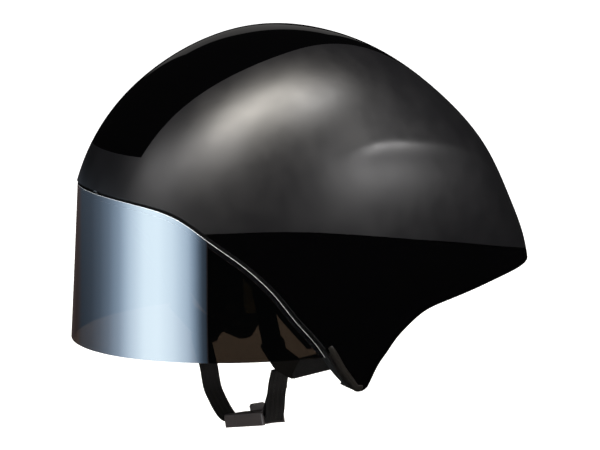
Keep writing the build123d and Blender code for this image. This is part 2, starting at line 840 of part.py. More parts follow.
for side, sign in (("left", 1), ("right", -1)):
    slots = []
    for name, stations in arms.items():
        placed = stations if sign == 1 else flipped(stations)
        stud_y, stud_z = stud_places[0] if name == "front" else stud_places[1]
        with BuildPart() as arm:
            add(ribbon(placed, strap_width, strap_thickness))
            with BuildSketch(Plane(origin=(0, stud_y, stud_z), x_dir=(0, 1, 0), z_dir=(sign, 0, 0))):
                Circle(eyelet_radius)
            extrude(amount=half_span, mode=Mode.SUBTRACT)
        finish(arm.part, f"{side}_{name}_strap")
        slots.append(ribbon(placed, slot_width, slot_depth))
    finish(ribbon(chins[side], strap_width, strap_thickness), f"{side}_chin_strap")
    slots.append(ribbon(chins[side], slot_width, slot_depth))
    with BuildPart() as splitter:
        with BuildSketch(splitter_plane):
            with BuildLine():
                corners = [(y * splitter_size, z * splitter_size) for y, z in splitter_corner_shares]
                FilletPolyline(*corners, radius=splitter_fillet, close=True)
            make_face()
        extrude(amount=splitter_thickness / 2, both=True)
        if sign == -1:
            mirror(about=Plane.YZ, mode=Mode.REPLACE)
        for slot in slots:
            add(slot, mode=Mode.SUBTRACT)
    finish(splitter.part, f"{side}_splitter")

# Buckle: two magnetic halves that meet end to end, square to its centre line
buckle_base = buckle_plane.offset(-buckle_height / 2)
buckle_along = Axis(buckle_split, buckle_plane.x_dir)
buckle_up = Axis(buckle_split, buckle_plane.z_dir)


def magnet_disc(run, way, thickness):
    """A disc that goes into a mating face."""
    with BuildPart() as disc:
        with BuildSketch(Plane(origin=along_buckle(run), x_dir=(0, 1, 0), z_dir=buckle_plane.x_dir * way)):
            Circle(buckle_magnet_radius)
        extrude(amount=thickness)
    return disc.part


def buckle_block(low, high, outer):
    """A block from low to high along the buckle, its outer end and its upper edges rounded."""
    with BuildPart() as block:
        with BuildSketch(buckle_base) as outline:
            with Locations(((low + high) / 2, 0)):
                Rectangle(high - low, buckle_width)
            fillet(outline.vertices().group_by(Axis.X)[outer], buckle_fillet)
        extrude(amount=buckle_height)
        fillet(block.edges().filter_by(buckle_along).group_by(buckle_up)[-1], buckle_fillet)
    return block.part


pocket_depth = buckle_magnet_thickness + 2 * shaft_gap
window_start = bar_run - bar_radius - buckle_window

with BuildPart() as left_buckle:
    add(buckle_block(buckle_gap / 2, buckle_left_length, -1))
    with Locations(buckle_plane.location * Location((window_start + half_span / 2, 0, 0))):
        Box(half_span, slot_width, buckle_height, mode=Mode.SUBTRACT)
    with BuildSketch(Plane(origin=bar, x_dir=buckle_plane.x_dir, z_dir=(0, 1, 0))):
        Circle(bar_radius)
    extrude(amount=(buckle_width - strap_thickness) / 2, both=True)
    add(magnet_disc(buckle_gap / 2, 1, pocket_depth), mode=Mode.SUBTRACT)
finish(left_buckle.part, "left_buckle")
finish(magnet_disc(buckle_gap / 2 + shaft_gap, 1, buckle_magnet_thickness), "left_buckle_magnet")

with BuildPart() as right_buckle:
    add(buckle_block(-buckle_right_length, -buckle_gap / 2, 0))
    add(ribbon(chins["right"], slot_width, slot_depth), mode=Mode.SUBTRACT)
    add(magnet_disc(-buckle_gap / 2, -1, pocket_depth), mode=Mode.SUBTRACT)
finish(right_buckle.part, "right_buckle")
finish(magnet_disc(-buckle_gap / 2 - shaft_gap, -1, buckle_magnet_thickness), "right_buckle_magnet")

with BuildPart() as buckle_pull_tab:
    with BuildSketch(buckle_base.offset(buckle_height)):
        with Locations((pull_tab_run, 0)):
            Rectangle(pull_tab_thickness, pull_tab_width)
    extrude(amount=pull_tab_height, taper=-pull_tab_taper)
    fillet(buckle_pull_tab.edges().filter_by(buckle_along).group_by(buckle_up)[-1], pull_tab_thickness)
finish(buckle_pull_tab.part, "buckle_pull_tab")
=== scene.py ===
"""Looks of an aero time trial helmet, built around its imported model. Lengths are in metres."""

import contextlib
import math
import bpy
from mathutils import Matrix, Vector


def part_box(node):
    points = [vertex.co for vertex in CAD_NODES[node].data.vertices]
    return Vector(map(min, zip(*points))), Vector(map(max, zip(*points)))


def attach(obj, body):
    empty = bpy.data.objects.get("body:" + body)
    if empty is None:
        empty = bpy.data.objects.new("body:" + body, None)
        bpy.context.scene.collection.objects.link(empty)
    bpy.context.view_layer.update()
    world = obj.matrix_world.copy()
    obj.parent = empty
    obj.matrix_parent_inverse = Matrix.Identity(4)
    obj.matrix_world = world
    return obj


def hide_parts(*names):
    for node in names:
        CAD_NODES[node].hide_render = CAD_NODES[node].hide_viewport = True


bl_info = {
    "name": "Aero time trial helmet",
    "version": (1, 0, 0),
    "blender": (4, 5, 0),
    "location": "3D View > Sidebar > Helmet",
    "description": "Dresses the packed helmet with painted shells, a mirror visor, webbing and pads",
    "category": "Object",
}

import bmesh
import bpy
import numpy as np
from mathutils import Matrix, Vector

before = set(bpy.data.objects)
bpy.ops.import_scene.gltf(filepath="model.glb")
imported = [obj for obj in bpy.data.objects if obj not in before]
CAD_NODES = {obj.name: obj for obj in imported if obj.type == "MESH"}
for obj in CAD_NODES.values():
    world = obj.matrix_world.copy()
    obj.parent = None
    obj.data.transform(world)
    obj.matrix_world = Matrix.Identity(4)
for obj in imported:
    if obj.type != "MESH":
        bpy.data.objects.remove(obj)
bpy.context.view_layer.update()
SIDES = ((1, "left"), (-1, "right"))

# Outer form: ribs on planes that fan about a crosswise line under the head
FAN_Y = 0.020
FAN_Z = -0.260
FORM_BASE_Z = -0.150
CROWN_RADIUS = 0.3686
FORM_HALF_WIDTH = 0.1178
TUCK_SHARE = 0.17
RIB_TILTS = (-46, -38, -30, -21, -11, 0, 11, 22, 31, 39, 46, 53, 60)
CROWN_SHARES = (0.543, 0.623, 0.768, 0.886, 0.958, 1.0, 0.986, 0.934, 0.885, 0.832, 0.794, 0.748, 0.707)
WIDTH_SHARES = (0.573, 0.733, 0.836, 0.917, 0.978, 1.0, 0.955, 0.868, 0.754, 0.644, 0.535, 0.447, 0.366)
RIB_FULLNESS = (2.2, 2.15, 2.1, 2.3, 2.5, 2.5, 2.6, 2.7, 2.85, 2.9, 2.9, 2.7, 2.5)
RIB_ANGLES = (0, 14, 28, 42, 56, 70, 80, 90)

# Edges of the shell in side view, as shares of its length and of the tips' depth
SHELL_LENGTH = 0.344
TIP_DEPTH = 0.140
FACE_EDGE_SHARES = (
    (-0.390, 0.036), (-0.335, 0.030), (-0.303, 0.015), (-0.277, -0.005), (-0.250, -0.042),
    (-0.214, -0.119), (-0.153, -0.244), (-0.114, -0.331), (-0.075, -0.433), (-0.032, -0.564),
    (0.033, -0.745), (0.066, -0.865), (0.101, -0.967),
)
EDGE_STEPS = 900
TIP_STEPS = 60
TIP_STEPS_OF_TRIM = 12
TIP_SHARES = ((0.101, -0.967), (0.110, -0.990), (0.122, -1.0), (0.136, -0.999), (0.147, -0.986))
NAPE_EDGE_SHARES = (
    (0.147, -0.986), (0.158, -0.935), (0.174, -0.869), (0.192, -0.821), (0.214, -0.761),
    (0.244, -0.707), (0.288, -0.652), (0.350, -0.626), (0.445, -0.602), (0.535, -0.576),
    (0.620, -0.556), (0.730, -0.520),
)
PARTING_SHARES = (
    (-0.300, -0.118), (-0.214, -0.119), (-0.148, -0.117), (-0.029, -0.132), (0.058, -0.161),
    (0.157, -0.204), (0.265, -0.257), (0.387, -0.321), (0.526, -0.404), (0.613, -0.457),
    (0.730, -0.530),
)
PARTING_GAP = 0.0004
PARTING_START_Y = -0.09
TRIM_TOP_Z = -0.107
TRIM_WIDTH = 0.006
TRIM_DEPTH = 0.008
TRIM_PROUD = 0.0005
TRIM_RAMP = 0.006
TRIM_SINK = 0.002

# Visor between two ovals
VISOR_LOW_Z = -0.1105
VISOR_FRONT_RISE = 0.0043
VISOR_CENTRE_Y = 0.015
VISOR_LOW_OVAL = (0.098, 0.143)
VISOR_BROW_OVAL = (0.117, 0.132)
VISOR_EDGE_GAP = 0.0025
VISOR_WALL = 0.002
VISOR_LIP = 0.0005
BORDER_BLUR = 0.0001

# Head cavity, liner and pads
CAVITY_HALF_WIDTH = 0.084
CAVITY_HALF_LENGTH = 0.104
CAVITY_Y = 0.003
CAVITY_Z = -0.006
PAD_SEAT = 0.0021
EAR_PAD_SEAT = 0.0003
PAD_THICKNESS = 0.0045
PAD_RIM_SHARE = 0.12
PAD_PIPING = 0.09
PAD_PIPING_START = 0.75

# Fit ring and dial
RING_TILT = 30.0
RING_Z = -0.048
DIAL_SEAT = 0.0994
DIAL_RADIUS = 0.016
DIAL_HEIGHT = 0.008
DIAL_RIBS = 20
DIAL_RIB_RADIUS = 0.0010
DIAL_RIB_SHARE = 1.6

# Straps, splitters and buckle
STRAP_MARGIN = 0.007
ARM_BEND_BELOW = 0.004
SPLITTER_CENTRE = (0.0655, -0.004, -0.114)
SPLITTER_LEAN = 22.3
SPLITTER_SIZE = 0.020
ARMS = (  # (name, stud, place on the splitter)
    ("front", (0.0764, -0.028, -0.052), (-0.42, 0.42)),
    ("rear", (0.0764, 0.034, -0.118), (0.55, -0.72)),
)
CHIN_ARM_SHARES = (0.12, -0.62)
LEFT_CHIN_BEND = (0.0468, 0.003, -0.147)
RIGHT_CHIN_BENDS = ((-0.060, 0.0045, -0.150), (-0.051, 0.005, -0.171))
BUCKLE_SPLIT = (-0.0014, 0.005, -0.1787)
BUCKLE_TILT = 16.0
BUCKLE_LEFT_LENGTH = 0.042
BUCKLE_RIGHT_LENGTH = 0.018
BAR_INSET = 0.0025
BAR_RADIUS = 0.0018
BAR_CLEARANCE = 0.0003
STRAP_TAIL = 0.026
STRAP_SET_SHARE = 0.8
TACK_BELOW = 0.021
TACK_ROW_GAP = 0.0022
TACK_SHARE = 0.4
STITCHES = {"Spacing": 0.0022, "Length": 0.0008, "Thread": 0.00022}

# The photograph's view
CAMERA_AZIMUTH = 60.0
CAMERA_ELEVATION = 12.0
CAMERA_DISTANCE = 1.8
CAMERA_ASIDE = 0.0427
CAMERA_UP = -0.0326
CAMERA_LENS = 151.2
FLOOR_HALF = 6.0


def length_field(name, description, value):
    return bpy.props.FloatProperty(name=name, description=description, default=value, unit="LENGTH")


def tone_field(name, description, value):
    return bpy.props.FloatVectorProperty(name=name, description=description, default=value, subtype="COLOR")


class HelmetShellSettings(bpy.types.PropertyGroup):
    wall: length_field("Skin wall", "Thickness of the shell's skins", 0.0012)
    lip: length_field("Lip radius", "Rounding of the skins' edges", 0.0004)
    ridge: length_field("Shoulder ridge", "Height of the soft ridge on each side", 0.0016)
    stripe_end: length_field("Stripe front end", "Height where the gloss crown stripe ends", 0.031)
    paint: tone_field("Matte paint", "Colour of the upper shell", (0.0032, 0.0032, 0.0040))
    stripe: tone_field("Gloss paint", "Colour of the crown stripe and the fairings", (0.0005, 0.0005, 0.0006))
    trim: tone_field("Edge trim", "Colour of the satin lips below the visor", (0.007, 0.006, 0.005))


class HelmetVisorSettings(bpy.types.PropertyGroup):
    tint: tone_field("Lens tint", "Light that one wall of the lens lets through", (0.049, 0.035, 0.024))
    mirror: tone_field("Mirror colour", "Tint of the mirror coating", (0.78, 0.90, 1.0))
    border: length_field("Printed border", "Width of the black border along the cut edge", 0.0035)
    # The polished edge is drawn as a light grey line in the lens's colour: a painted highlight for the light
    # that the edge reflects.
    cut: length_field("Polished edge", "Width of the bright polished cut edge", 0.0003)


class HelmetStrapSettings(bpy.types.PropertyGroup):
    width: length_field("Webbing width", "Width of the straps", 0.015)
    thickness: length_field("Webbing thickness", "Thickness of the straps", 0.0015)
    rib_pitch: length_field("Weave pitch", "Distance between the weave's ribs", 0.0011)
    colour: tone_field("Webbing colour", "Colour of the straps", (0.006, 0.0055, 0.0055))


class HelmetPadSettings(bpy.types.PropertyGroup):
    knit_pitch: length_field("Knit pitch", "Distance between the knit's cells", 0.0014)
    pad: tone_field("Pad colour", "Colour of the comfort pads", (0.025, 0.025, 0.028))
    ear: tone_field("Ear pad colour", "Colour of the strips beside the ears", (0.16, 0.15, 0.035))


class HelmetStageSettings(bpy.types.PropertyGroup):
    floor_z: length_field("Floor height", "Height of the pale floor", -0.33)
    reflected: bpy.props.FloatProperty(
        name="Background in reflections", description="Share of the background that reflections show",
        default=0.004, min=0.0, max=1.0)
    fill: bpy.props.FloatProperty(
        name="Ambient light", description="Strength of the light from all around", default=0.16, min=0.0)


def natural_bends(knots, values):
    """Second derivatives of natural cubic curves at their knots; many curves may be stacked."""
    count = knots.shape[-1]
    step = np.diff(knots)
    slope = np.diff(values, axis=-2) / step[..., None]
    matrix = np.zeros(knots.shape[:-1] + (count, count))
    right = np.zeros(values.shape)
    middle = np.arange(1, count - 1)
    matrix[..., 0, 0] = 1
    matrix[..., -1, -1] = 1
    matrix[..., middle, middle - 1] = step[..., :-1]
    matrix[..., middle, middle] = 2 * (step[..., :-1] + step[..., 1:])
    matrix[..., middle, middle + 1] = step[..., 1:]
    right[..., 1:-1, :] = 6 * np.diff(slope, axis=-2)
    return np.linalg.solve(matrix, right)


def read_curves(knots, values, bends, places):
    """One place on each of many stacked cubic curves."""
    rows = np.arange(len(places))
    left = np.clip((knots < places[:, None]).sum(1) - 1, 0, knots.shape[1] - 2)
    start, end = knots[rows, left], knots[rows, left + 1]
    step = end - start
    a, b = ((end - places) / step)[:, None], ((places - start) / step)[:, None]
    flat = a * values[rows, left] + b * values[rows, left + 1]
    bend = (a ** 3 - a) * bends[rows, left] + (b ** 3 - b) * bends[rows, left + 1]
    return flat + bend * (step ** 2)[:, None] / 6


def run_along(points):
    """Distance run along a line at each of its points."""
    return np.concatenate([[0], np.cumsum(np.linalg.norm(np.diff(points, axis=0), axis=1))])


def smooth_line(points, count):
    """A natural cubic line through the points, read at count places."""
    points = np.asarray(points, float)
    run = run_along(points)
    knots = (run / run[-1])[None]
    bends = natural_bends(knots, points[None])
    repeat = [np.repeat(block, count, axis=0) for block in (knots, points[None], bends)]
    return read_curves(*repeat, np.linspace(0, 1, count))


def rib_table():
    """Each rib's points from foot to foot, as (side, radius) pairs."""
    table = []
    for tilt, crown, width, full in zip(RIB_TILTS, CROWN_SHARES, WIDTH_SHARES, RIB_FULLNESS):
        base = (FORM_BASE_Z - FAN_Z) / math.cos(math.radians(tilt))
        rise = crown * CROWN_RADIUS - base
        half = []
        for angle in RIB_ANGLES:
            up = math.sin(math.radians(angle)) ** (2 / full)
            out = math.cos(math.radians(angle)) ** (2 / full) if angle < 90 else 0
            half.append((width * FORM_HALF_WIDTH * out * (1 - TUCK_SHARE * (1 - up) ** 2), base + rise * up))
        table.append(half + [(-side, radius) for side, radius in reversed(half[:-1])])
    return np.array(table)


RIBS = rib_table()
TILTS = np.radians(RIB_TILTS)
RIB_POINTS = RIBS.shape[1]
TILT_BENDS = natural_bends(TILTS, RIBS.reshape(len(TILTS), -1))


def ribs_at(tilt):
    """The ribs at any tilts, with their knots and bends."""
    count = len(tilt)
    left = np.clip(np.searchsorted(TILTS, tilt) - 1, 0, len(TILTS) - 2)
    step = TILTS[left + 1] - TILTS[left]
    a, b = ((TILTS[left + 1] - tilt) / step)[:, None], ((tilt - TILTS[left]) / step)[:, None]
    flat_ribs = RIBS.reshape(len(TILTS), -1)
    bend = (a ** 3 - a) * TILT_BENDS[left] + (b ** 3 - b) * TILT_BENDS[left + 1]
    points = a * flat_ribs[left] + b * flat_ribs[left + 1] + bend * (step ** 2)[:, None] / 6
    points = points.reshape(count, RIB_POINTS, 2)
    run = np.cumsum(np.linalg.norm(np.diff(points, axis=1), axis=2), axis=1)
    knots = np.concatenate([np.zeros((count, 1)), run], axis=1) / run[:, -1:]
    return knots, points, natural_bends(knots, points)


def form_points(tilt, share):
    """Points of the outer form: the rib's tilt, and the share of the way over it from the left foot."""
    side, radius = read_curves(*ribs_at(tilt), share).T
    return np.stack([side, FAN_Y + radius * np.sin(tilt), FAN_Z + radius * np.cos(tilt)], axis=1)


def fan(points):
    """Side-view points as the tilt and radius of the fan."""
    y, z = points[:, 0] - FAN_Y, points[:, 1] - FAN_Z
    return np.arctan2(y, z), np.hypot(y, z)


def shares_at(tilt, radius, samples=400):
    """How far over each rib from its left foot, up to the crown, the radius is reached."""
    knots, points, bends = ribs_at(tilt)
    places = np.linspace(0, 0.5, samples)
    shares = np.empty(len(tilt))
    for i in range(len(tilt)):
        stacked = [np.repeat(block[i:i + 1], samples, axis=0) for block in (knots, points, bends)]
        heights = np.maximum.accumulate(read_curves(*stacked, places)[:, 1])
        shares[i] = np.interp(radius[i], heights, places)
    return shares


def side_points(shares):
    return np.array(shares) * (SHELL_LENGTH, TIP_DEPTH)


def shifted(points, distance):
    """Moves each point of a side-view line square to it, to the left of its direction."""
    ahead = np.gradient(points, axis=0)
    ahead /= np.linalg.norm(ahead, axis=1, keepdims=True)
    return points + distance * np.stack([-ahead[:, 1], ahead[:, 0]], axis=1)


FACE_EDGE = side_points(FACE_EDGE_SHARES)
NAPE_EDGE = side_points(NAPE_EDGE_SHARES)
PARTING = side_points(PARTING_SHARES)
FACE_LINE = smooth_line(FACE_EDGE, EDGE_STEPS)
TIP_LINE = smooth_line(side_points(TIP_SHARES), TIP_STEPS)


def grid_faces(columns, rows, closed=False):
    """Faces of a grid whose points run row by row within each column; closed joins each column's ends."""
    faces = []
    last = rows if closed else rows - 1
    for i in range(columns - 1):
        for j in range(last):
            k = (j + 1) % rows
            faces.append((i * rows + j, (i + 1) * rows + j, (i + 1) * rows + k, i * rows + k))
    return faces


def add_object(name, data):
    """An object in the scene with the given data."""
    thing = bpy.data.objects.new(name, data)
    bpy.context.scene.collection.objects.link(thing)
    return thing


@contextlib.contextmanager
def edited(mesh):
    """Opens a mesh for edits that are written back to it."""
    open_mesh = bmesh.new()
    open_mesh.from_mesh(mesh)
    yield open_mesh
    open_mesh.to_mesh(mesh)
    open_mesh.free()


def new_piece(name, points, faces):
    """A mesh object in the scene, with doubles merged and faces outwards."""
    mesh = bpy.data.meshes.new(name)
    mesh.from_pydata([tuple(p) for p in points], [], faces)
    piece = add_object(name, mesh)
    with edited(mesh) as tidy:
        bmesh.ops.remove_doubles(tidy, verts=tidy.verts, dist=0.00001)
        bmesh.ops.dissolve_degenerate(tidy, edges=tidy.edges, dist=0.000001)
        bmesh.ops.recalc_face_normals(tidy, faces=tidy.faces)
    mesh.shade_smooth()
    return piece


def turn_outwards(piece):
    """Flips an open sheet whose faces look at the shell's centre."""
    mesh = piece.data
    away = sum((Vector(f.center) - Vector(SHELL_CENTRE)).dot(f.normal) * f.area for f in mesh.polygons)
    if away < 0:
        mesh.flip_normals()


def evaluated_mesh(source, **options):
    """The plain mesh that an object's modifiers make."""
    bpy.context.view_layer.update()
    graph = bpy.context.evaluated_depsgraph_get()
    return bpy.data.meshes.new_from_object(source.evaluated_get(graph), depsgraph=graph, **options)


def settle(piece):
    """Turns the piece's modifiers into its plain mesh."""
    mesh = evaluated_mesh(piece, preserve_all_data_layers=True)
    piece.modifiers.clear()
    piece.data = mesh
    mesh.name = piece.name
    return piece


def thicken(piece, wall, lip):
    """Gives an open sheet its wall, inwards, with rounded edges."""
    solid = piece.modifiers.new("Wall", "SOLIDIFY")
    solid.thickness = wall
    solid.offset = -1
    solid.use_even_offset = True
    round_edges(piece, lip, 3, 40)
    return settle(piece)


def round_edges(piece, lip, segments, angle):
    """Rounds the piece's sharp edges and keeps its large faces flat in shading."""
    bevel = piece.modifiers.new("Lip", "BEVEL")
    bevel.width = lip
    bevel.segments = segments
    bevel.limit_method = "ANGLE"
    bevel.angle_limit = math.radians(angle)
    bevel.use_clamp_overlap = True
    weighted = piece.modifiers.new("Shading", "WEIGHTED_NORMAL")
    weighted.keep_sharp = True


def softened(node, name, lip):
    """A copy of a CAD node, merged and with rounded edges."""
    piece = add_object(name, CAD_NODES[node].data.copy())
    with edited(piece.data) as tidy:
        bmesh.ops.remove_doubles(tidy, verts=tidy.verts, dist=0.000002)
        bmesh.ops.dissolve_limit(tidy, angle_limit=math.radians(1), verts=tidy.verts, edges=tidy.edges)
        for face in tidy.faces:
            face.smooth = True
    piece.data.materials.clear()
    if piece.data.has_custom_normals:
        piece.data.attributes.remove(piece.data.attributes["custom_normal"])
    round_edges(piece, lip, 2, 35)
    return settle(piece)


def point_attribute(piece, name, values):
    field = piece.data.attributes.new(name, "FLOAT", "POINT")
    field.data.foreach_set("value", np.asarray(values, np.float32))


def vertex_points(piece):
    points = np.empty(len(piece.data.vertices) * 3)
    piece.data.vertices.foreach_get("co", points)
    return points.reshape(-1, 3)


def paint(piece, material):
    piece.data.materials.clear()
    piece.data.materials.append(material)


def finish_piece(piece, material, body, slot, *nodes):
    """Paints a piece, makes it ride on its body and lets it stand for its CAD nodes."""
    paint(piece, material)
    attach(piece, body)
    if nodes:
        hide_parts(*nodes)
    return piece


# Materials

class Nodes:
    """A node tree under construction."""

    def __init__(self, tree):
        self.tree = tree

    def node(self, kind, settings=None, **sockets):
        made = self.tree.nodes.new(kind)
        for key, value in (settings or {}).items():
            setattr(made, key, value)
        for socket, value in sockets.items():
            self.feed(made.inputs[socket.replace("_", " ")], value)
        return made

    def feed(self, socket, value):
        if isinstance(value, bpy.types.NodeSocket):
            self.tree.links.new(value, socket)
        else:
            socket.default_value = value

    def join(self, *rows):
        """Links nodes, each row as (node, output, node, input)."""
        for start, output, end, entry in rows:
            self.tree.links.new(start.outputs[output], end.inputs[entry])

    def math(self, operation, first, second=0.0):
        made = self.tree.nodes.new("ShaderNodeMath")
        made.operation = operation
        self.feed(made.inputs[0], first)
        self.feed(made.inputs[1], second)
        return made.outputs[0]

    def mix(self, factor, first, second, kind="RGBA", blend="MIX"):
        made = self.node("ShaderNodeMix", {"data_type": kind, "blend_type": blend})
        for socket, value in (("Factor", factor), ("A", first), ("B", second)):
            self.feed(made.inputs[socket], value)
        return made.outputs["Result"]


class Finish(Nodes):
    """A node material under construction, with its main shader ready."""

    def __init__(self, name, **sockets):
        self.material = bpy.data.materials.new(name)
        self.material.use_nodes = True
        super().__init__(self.material.node_tree)
        self.shader = self.tree.nodes["Principled BSDF"]
        for socket, value in sockets.items():
            self.shader.inputs[socket.replace("_", " ")].default_value = value

    def spread(self, value, low, high, to_low=0.0, to_high=1.0):
        made = self.node("ShaderNodeMapRange", From_Min=low, From_Max=high, To_Min=to_low, To_Max=to_high)
        self.feed(made.inputs["Value"], value)
        return made.outputs["Result"]

    def places(self, scale=1.0):
        coords = self.tree.nodes.new("ShaderNodeTexCoord")
        mapping = self.node("ShaderNodeMapping", Scale=(scale, scale, scale))
        self.tree.links.new(coords.outputs["Object"], mapping.inputs["Vector"])
        return mapping.outputs["Vector"]

    def noise(self, scale, detail):
        made = self.node("ShaderNodeTexNoise", Scale=scale, Detail=detail, Vector=self.places())
        return made.outputs["Fac"]

    def clouded(self, tone, low, high, scale):
        """A tone that drifts between two shares of itself."""
        cloud = self.spread(self.noise(scale, 3.0), 0.3, 0.7, low, high)
        return self.mix(1.0, colour(tone), cloud, blend="MULTIPLY")

    def bump(self, height, strength, distance):
        made = self.node("ShaderNodeBump", Strength=strength, Distance=distance)
        self.feed(made.inputs["Height"], height)
        self.tree.links.new(made.outputs["Normal"], self.shader.inputs["Normal"])

    def set(self, socket, value):
        self.feed(self.shader.inputs[socket], value)


def colour(values):
    return (*values, 1.0)


def matte_paint(settings):
    """Matte paint with a gloss stripe over the crown, parted by the stripe attribute."""
    made = Finish("matte_paint", IOR=1.5)
    edge = made.node("ShaderNodeAttribute", {"attribute_name": "stripe"}).outputs["Fac"]
    gloss = made.spread(edge, -0.00012, 0.00012)
    matte = made.math("SUBTRACT", 1.0, gloss)
    body = made.clouded(settings.paint, 0.92, 1.08, 14.0)
    made.set("Base Color", made.mix(gloss, body, colour(settings.stripe)))
    rough = made.math("MULTIPLY", made.spread(made.noise(60.0, 5.0), 0.35, 0.65, 0.34, 0.39), matte)
    made.set("Roughness", made.math("ADD", rough, made.math("MULTIPLY", gloss, 0.045)))
    grain = made.math("MULTIPLY", made.noise(2600.0, 2.0), matte)
    made.bump(grain, 0.16, 0.00006)
    return made.material


def gloss_paint(settings):
    """Deep gloss paint of the side fairings."""
    made = Finish("gloss_paint", Specular_IOR_Level=0.20, Base_Color=colour(settings.stripe))
    made.set("Roughness", made.spread(made.noise(35.0, 4.0), 0.3, 0.7, 0.03, 0.06))
    made.bump(made.noise(140.0, 2.0), 0.03, 0.0002)
    return made.material


def satin_plastic(name, tone, rough=0.38, grain=1800.0, shine=0.5):
    """Moulded plastic with a fine spark-eroded grain."""
    made = Finish(name, Specular_IOR_Level=shine)
    made.set("Base Color", made.clouded(tone, 0.85, 1.15, 40.0))
    made.set("Roughness", made.spread(made.noise(120.0, 4.0), 0.3, 0.7, rough - 0.05, rough + 0.06))
    made.bump(made.noise(grain, 3.0), 0.25, 0.00005)
    return made.material


def visor_lens(settings):
    """Mirror-coated tinted lens with a black printed border along its cut edge, and a painted highlight: a
    thin light grey line on the edge itself.
    """
    made = Finish("visor_lens", IOR=2.4, Specular_Tint=colour(settings.mirror))
    edge = made.node("ShaderNodeAttribute", {"attribute_name": "edge_run"}).outputs["Fac"]
    widths = (settings.border, settings.cut)
    border, cut = (made.spread(edge, width - BORDER_BLUR, width + BORDER_BLUR, 1.0, 0.0) for width in widths)
    body = made.mix(border, colour(settings.tint), (0.002, 0.002, 0.0025, 1.0))
    # Painted highlight: a thin light grey line along the cut edge stands in for the light that the polished
    # edge catches.
    made.set("Base Color", made.mix(cut, body, (0.62, 0.65, 0.67, 1.0)))
    made.set("Transmission Weight", made.math("SUBTRACT", 1.0, border))
    made.set("Roughness", made.spread(made.noise(9.0, 2.0), 0.3, 0.7, 0.012, 0.022))
    return made.material


def bead_foam():
    """Expanded foam with its beads."""
    made = Finish("bead_foam", Roughness=0.8)
    cells = made.node("ShaderNodeTexVoronoi", Scale=340.0, Vector=made.places()).outputs["Distance"]
    bead, seam = (0.008, 0.008, 0.009, 1), (0.003, 0.003, 0.003, 1)
    made.set("Base Color", made.mix(made.spread(cells, 0.0, 0.8), bead, seam))
    made.bump(made.math("SUBTRACT", 1.0, cells), 0.6, 0.0006)
    return made.material


def knit(name, tone, pitch):
    """Knitted pad fabric with small cells and a soft sheen."""
    made = Finish(name, Roughness=0.85, Sheen_Weight=0.35, Sheen_Roughness=0.5)
    cells = made.node("ShaderNodeTexVoronoi", {"feature": "SMOOTH_F1"}, Scale=1.0, Smoothness=0.4,
                      Vector=made.places(1 / pitch)).outputs["Distance"]
    # Painted shade: the colour darkens to a third in the dips between the knit's cells, where the bump is
    # lowest.
    painted_dip_shade = colour(0.35 * c for c in tone)
    made.set("Base Color", made.mix(made.spread(cells, 0.1, 0.7), colour(tone), painted_dip_shade))
    made.bump(made.math("SUBTRACT", 1.0, cells), 0.7, 0.0004)
    return made.material


def webbing_weave(settings):
    """Woven webbing: ribs across the strap and a binding line along it, read from the strap's own UV map."""
    made = Finish("webbing", Roughness=0.62, Specular_IOR_Level=0.12, Sheen_Weight=0.04, Sheen_Roughness=0.4)
    coords = made.node("ShaderNodeUVMap", {"uv_map": "weave"}).outputs["UV"]
    parts = made.node("ShaderNodeSeparateXYZ")
    made.feed(parts.inputs["Vector"], coords)
    along, across = parts.outputs["X"], parts.outputs["Y"]
    turn = 2 * math.pi / settings.rib_pitch
    slant = made.math("PINGPONG", across, settings.width / 8)
    ribs = made.math("SINE", made.math("MULTIPLY", made.math("ADD", along, slant), turn))
    lines = made.math("SINE", made.math("MULTIPLY", across, turn * 0.8))
    height = made.math("ADD", made.math("MULTIPLY", ribs, 0.35), made.math("MULTIPLY", lines, 0.15))
    height = made.math("ADD", height, 0.5)
    fuzz = made.math("MULTIPLY", made.noise(1500.0, 3.0), 0.3)
    # Painted shade and painted highlight: the colour follows the weave's height, darker in its valleys and
    # lighter on its ribs.
    painted_valley_shade = colour(0.45 * c for c in settings.colour)
    light = colour(1.9 * c for c in settings.colour)
    made.set("Base Color", made.mix(height, painted_valley_shade, light))
    made.bump(made.math("ADD", height, fuzz), 0.8, 0.00025)
    return made.material


def steel():
    """Nickel-plated magnet with a finely varied roughness, built once."""
    if "plated_steel" in bpy.data.materials:
        return bpy.data.materials["plated_steel"]
    made = Finish("plated_steel", Metallic=1.0, Base_Color=(0.48, 0.47, 0.45, 1))
    made.set("Roughness", made.spread(made.noise(900.0, 4.0), 0.3, 0.7, 0.22, 0.38))
    return made.material


def rubber(name, tone):
    """Soft rubber with a dull, finely pitted face."""
    made = Finish(name)
    made.set("Base Color", made.mix(made.noise(220.0, 3.0), colour(0.75 * c for c in tone), colour(tone)))
    made.set("Roughness", made.spread(made.noise(90.0, 3.0), 0.3, 0.7, 0.55, 0.7))
    made.bump(made.noise(1400.0, 2.0), 0.3, 0.00008)
    return made.material


# Shell

def crown_radius_at(tilt):
    """Radius of the fan at the form's crown line."""
    return ribs_at(tilt)[1][:, RIB_POINTS // 2, 1]


def upper_edge():
    """The upper shell's lower edge in side view, from the brow's middle to the tail's end."""
    line = smooth_line(shifted(PARTING, PARTING_GAP / 2), 1400)
    apart = np.abs(FACE_LINE[:, 1] - np.interp(FACE_LINE[:, 0], line[:, 0], line[:, 1]))
    corner = int(np.argmin(apart + (FACE_LINE[:, 0] < PARTING_START_Y)))
    face = FACE_LINE[:corner + 1]
    line = line[line[:, 0] > face[-1, 0]]
    path = np.concatenate([face, line])
    tilt, radius = fan(path)
    inside = radius <= crown_radius_at(tilt)
    first = int(np.argmax(inside))
    last = len(inside) - int(np.argmax(inside[::-1]))
    return path[first:last]


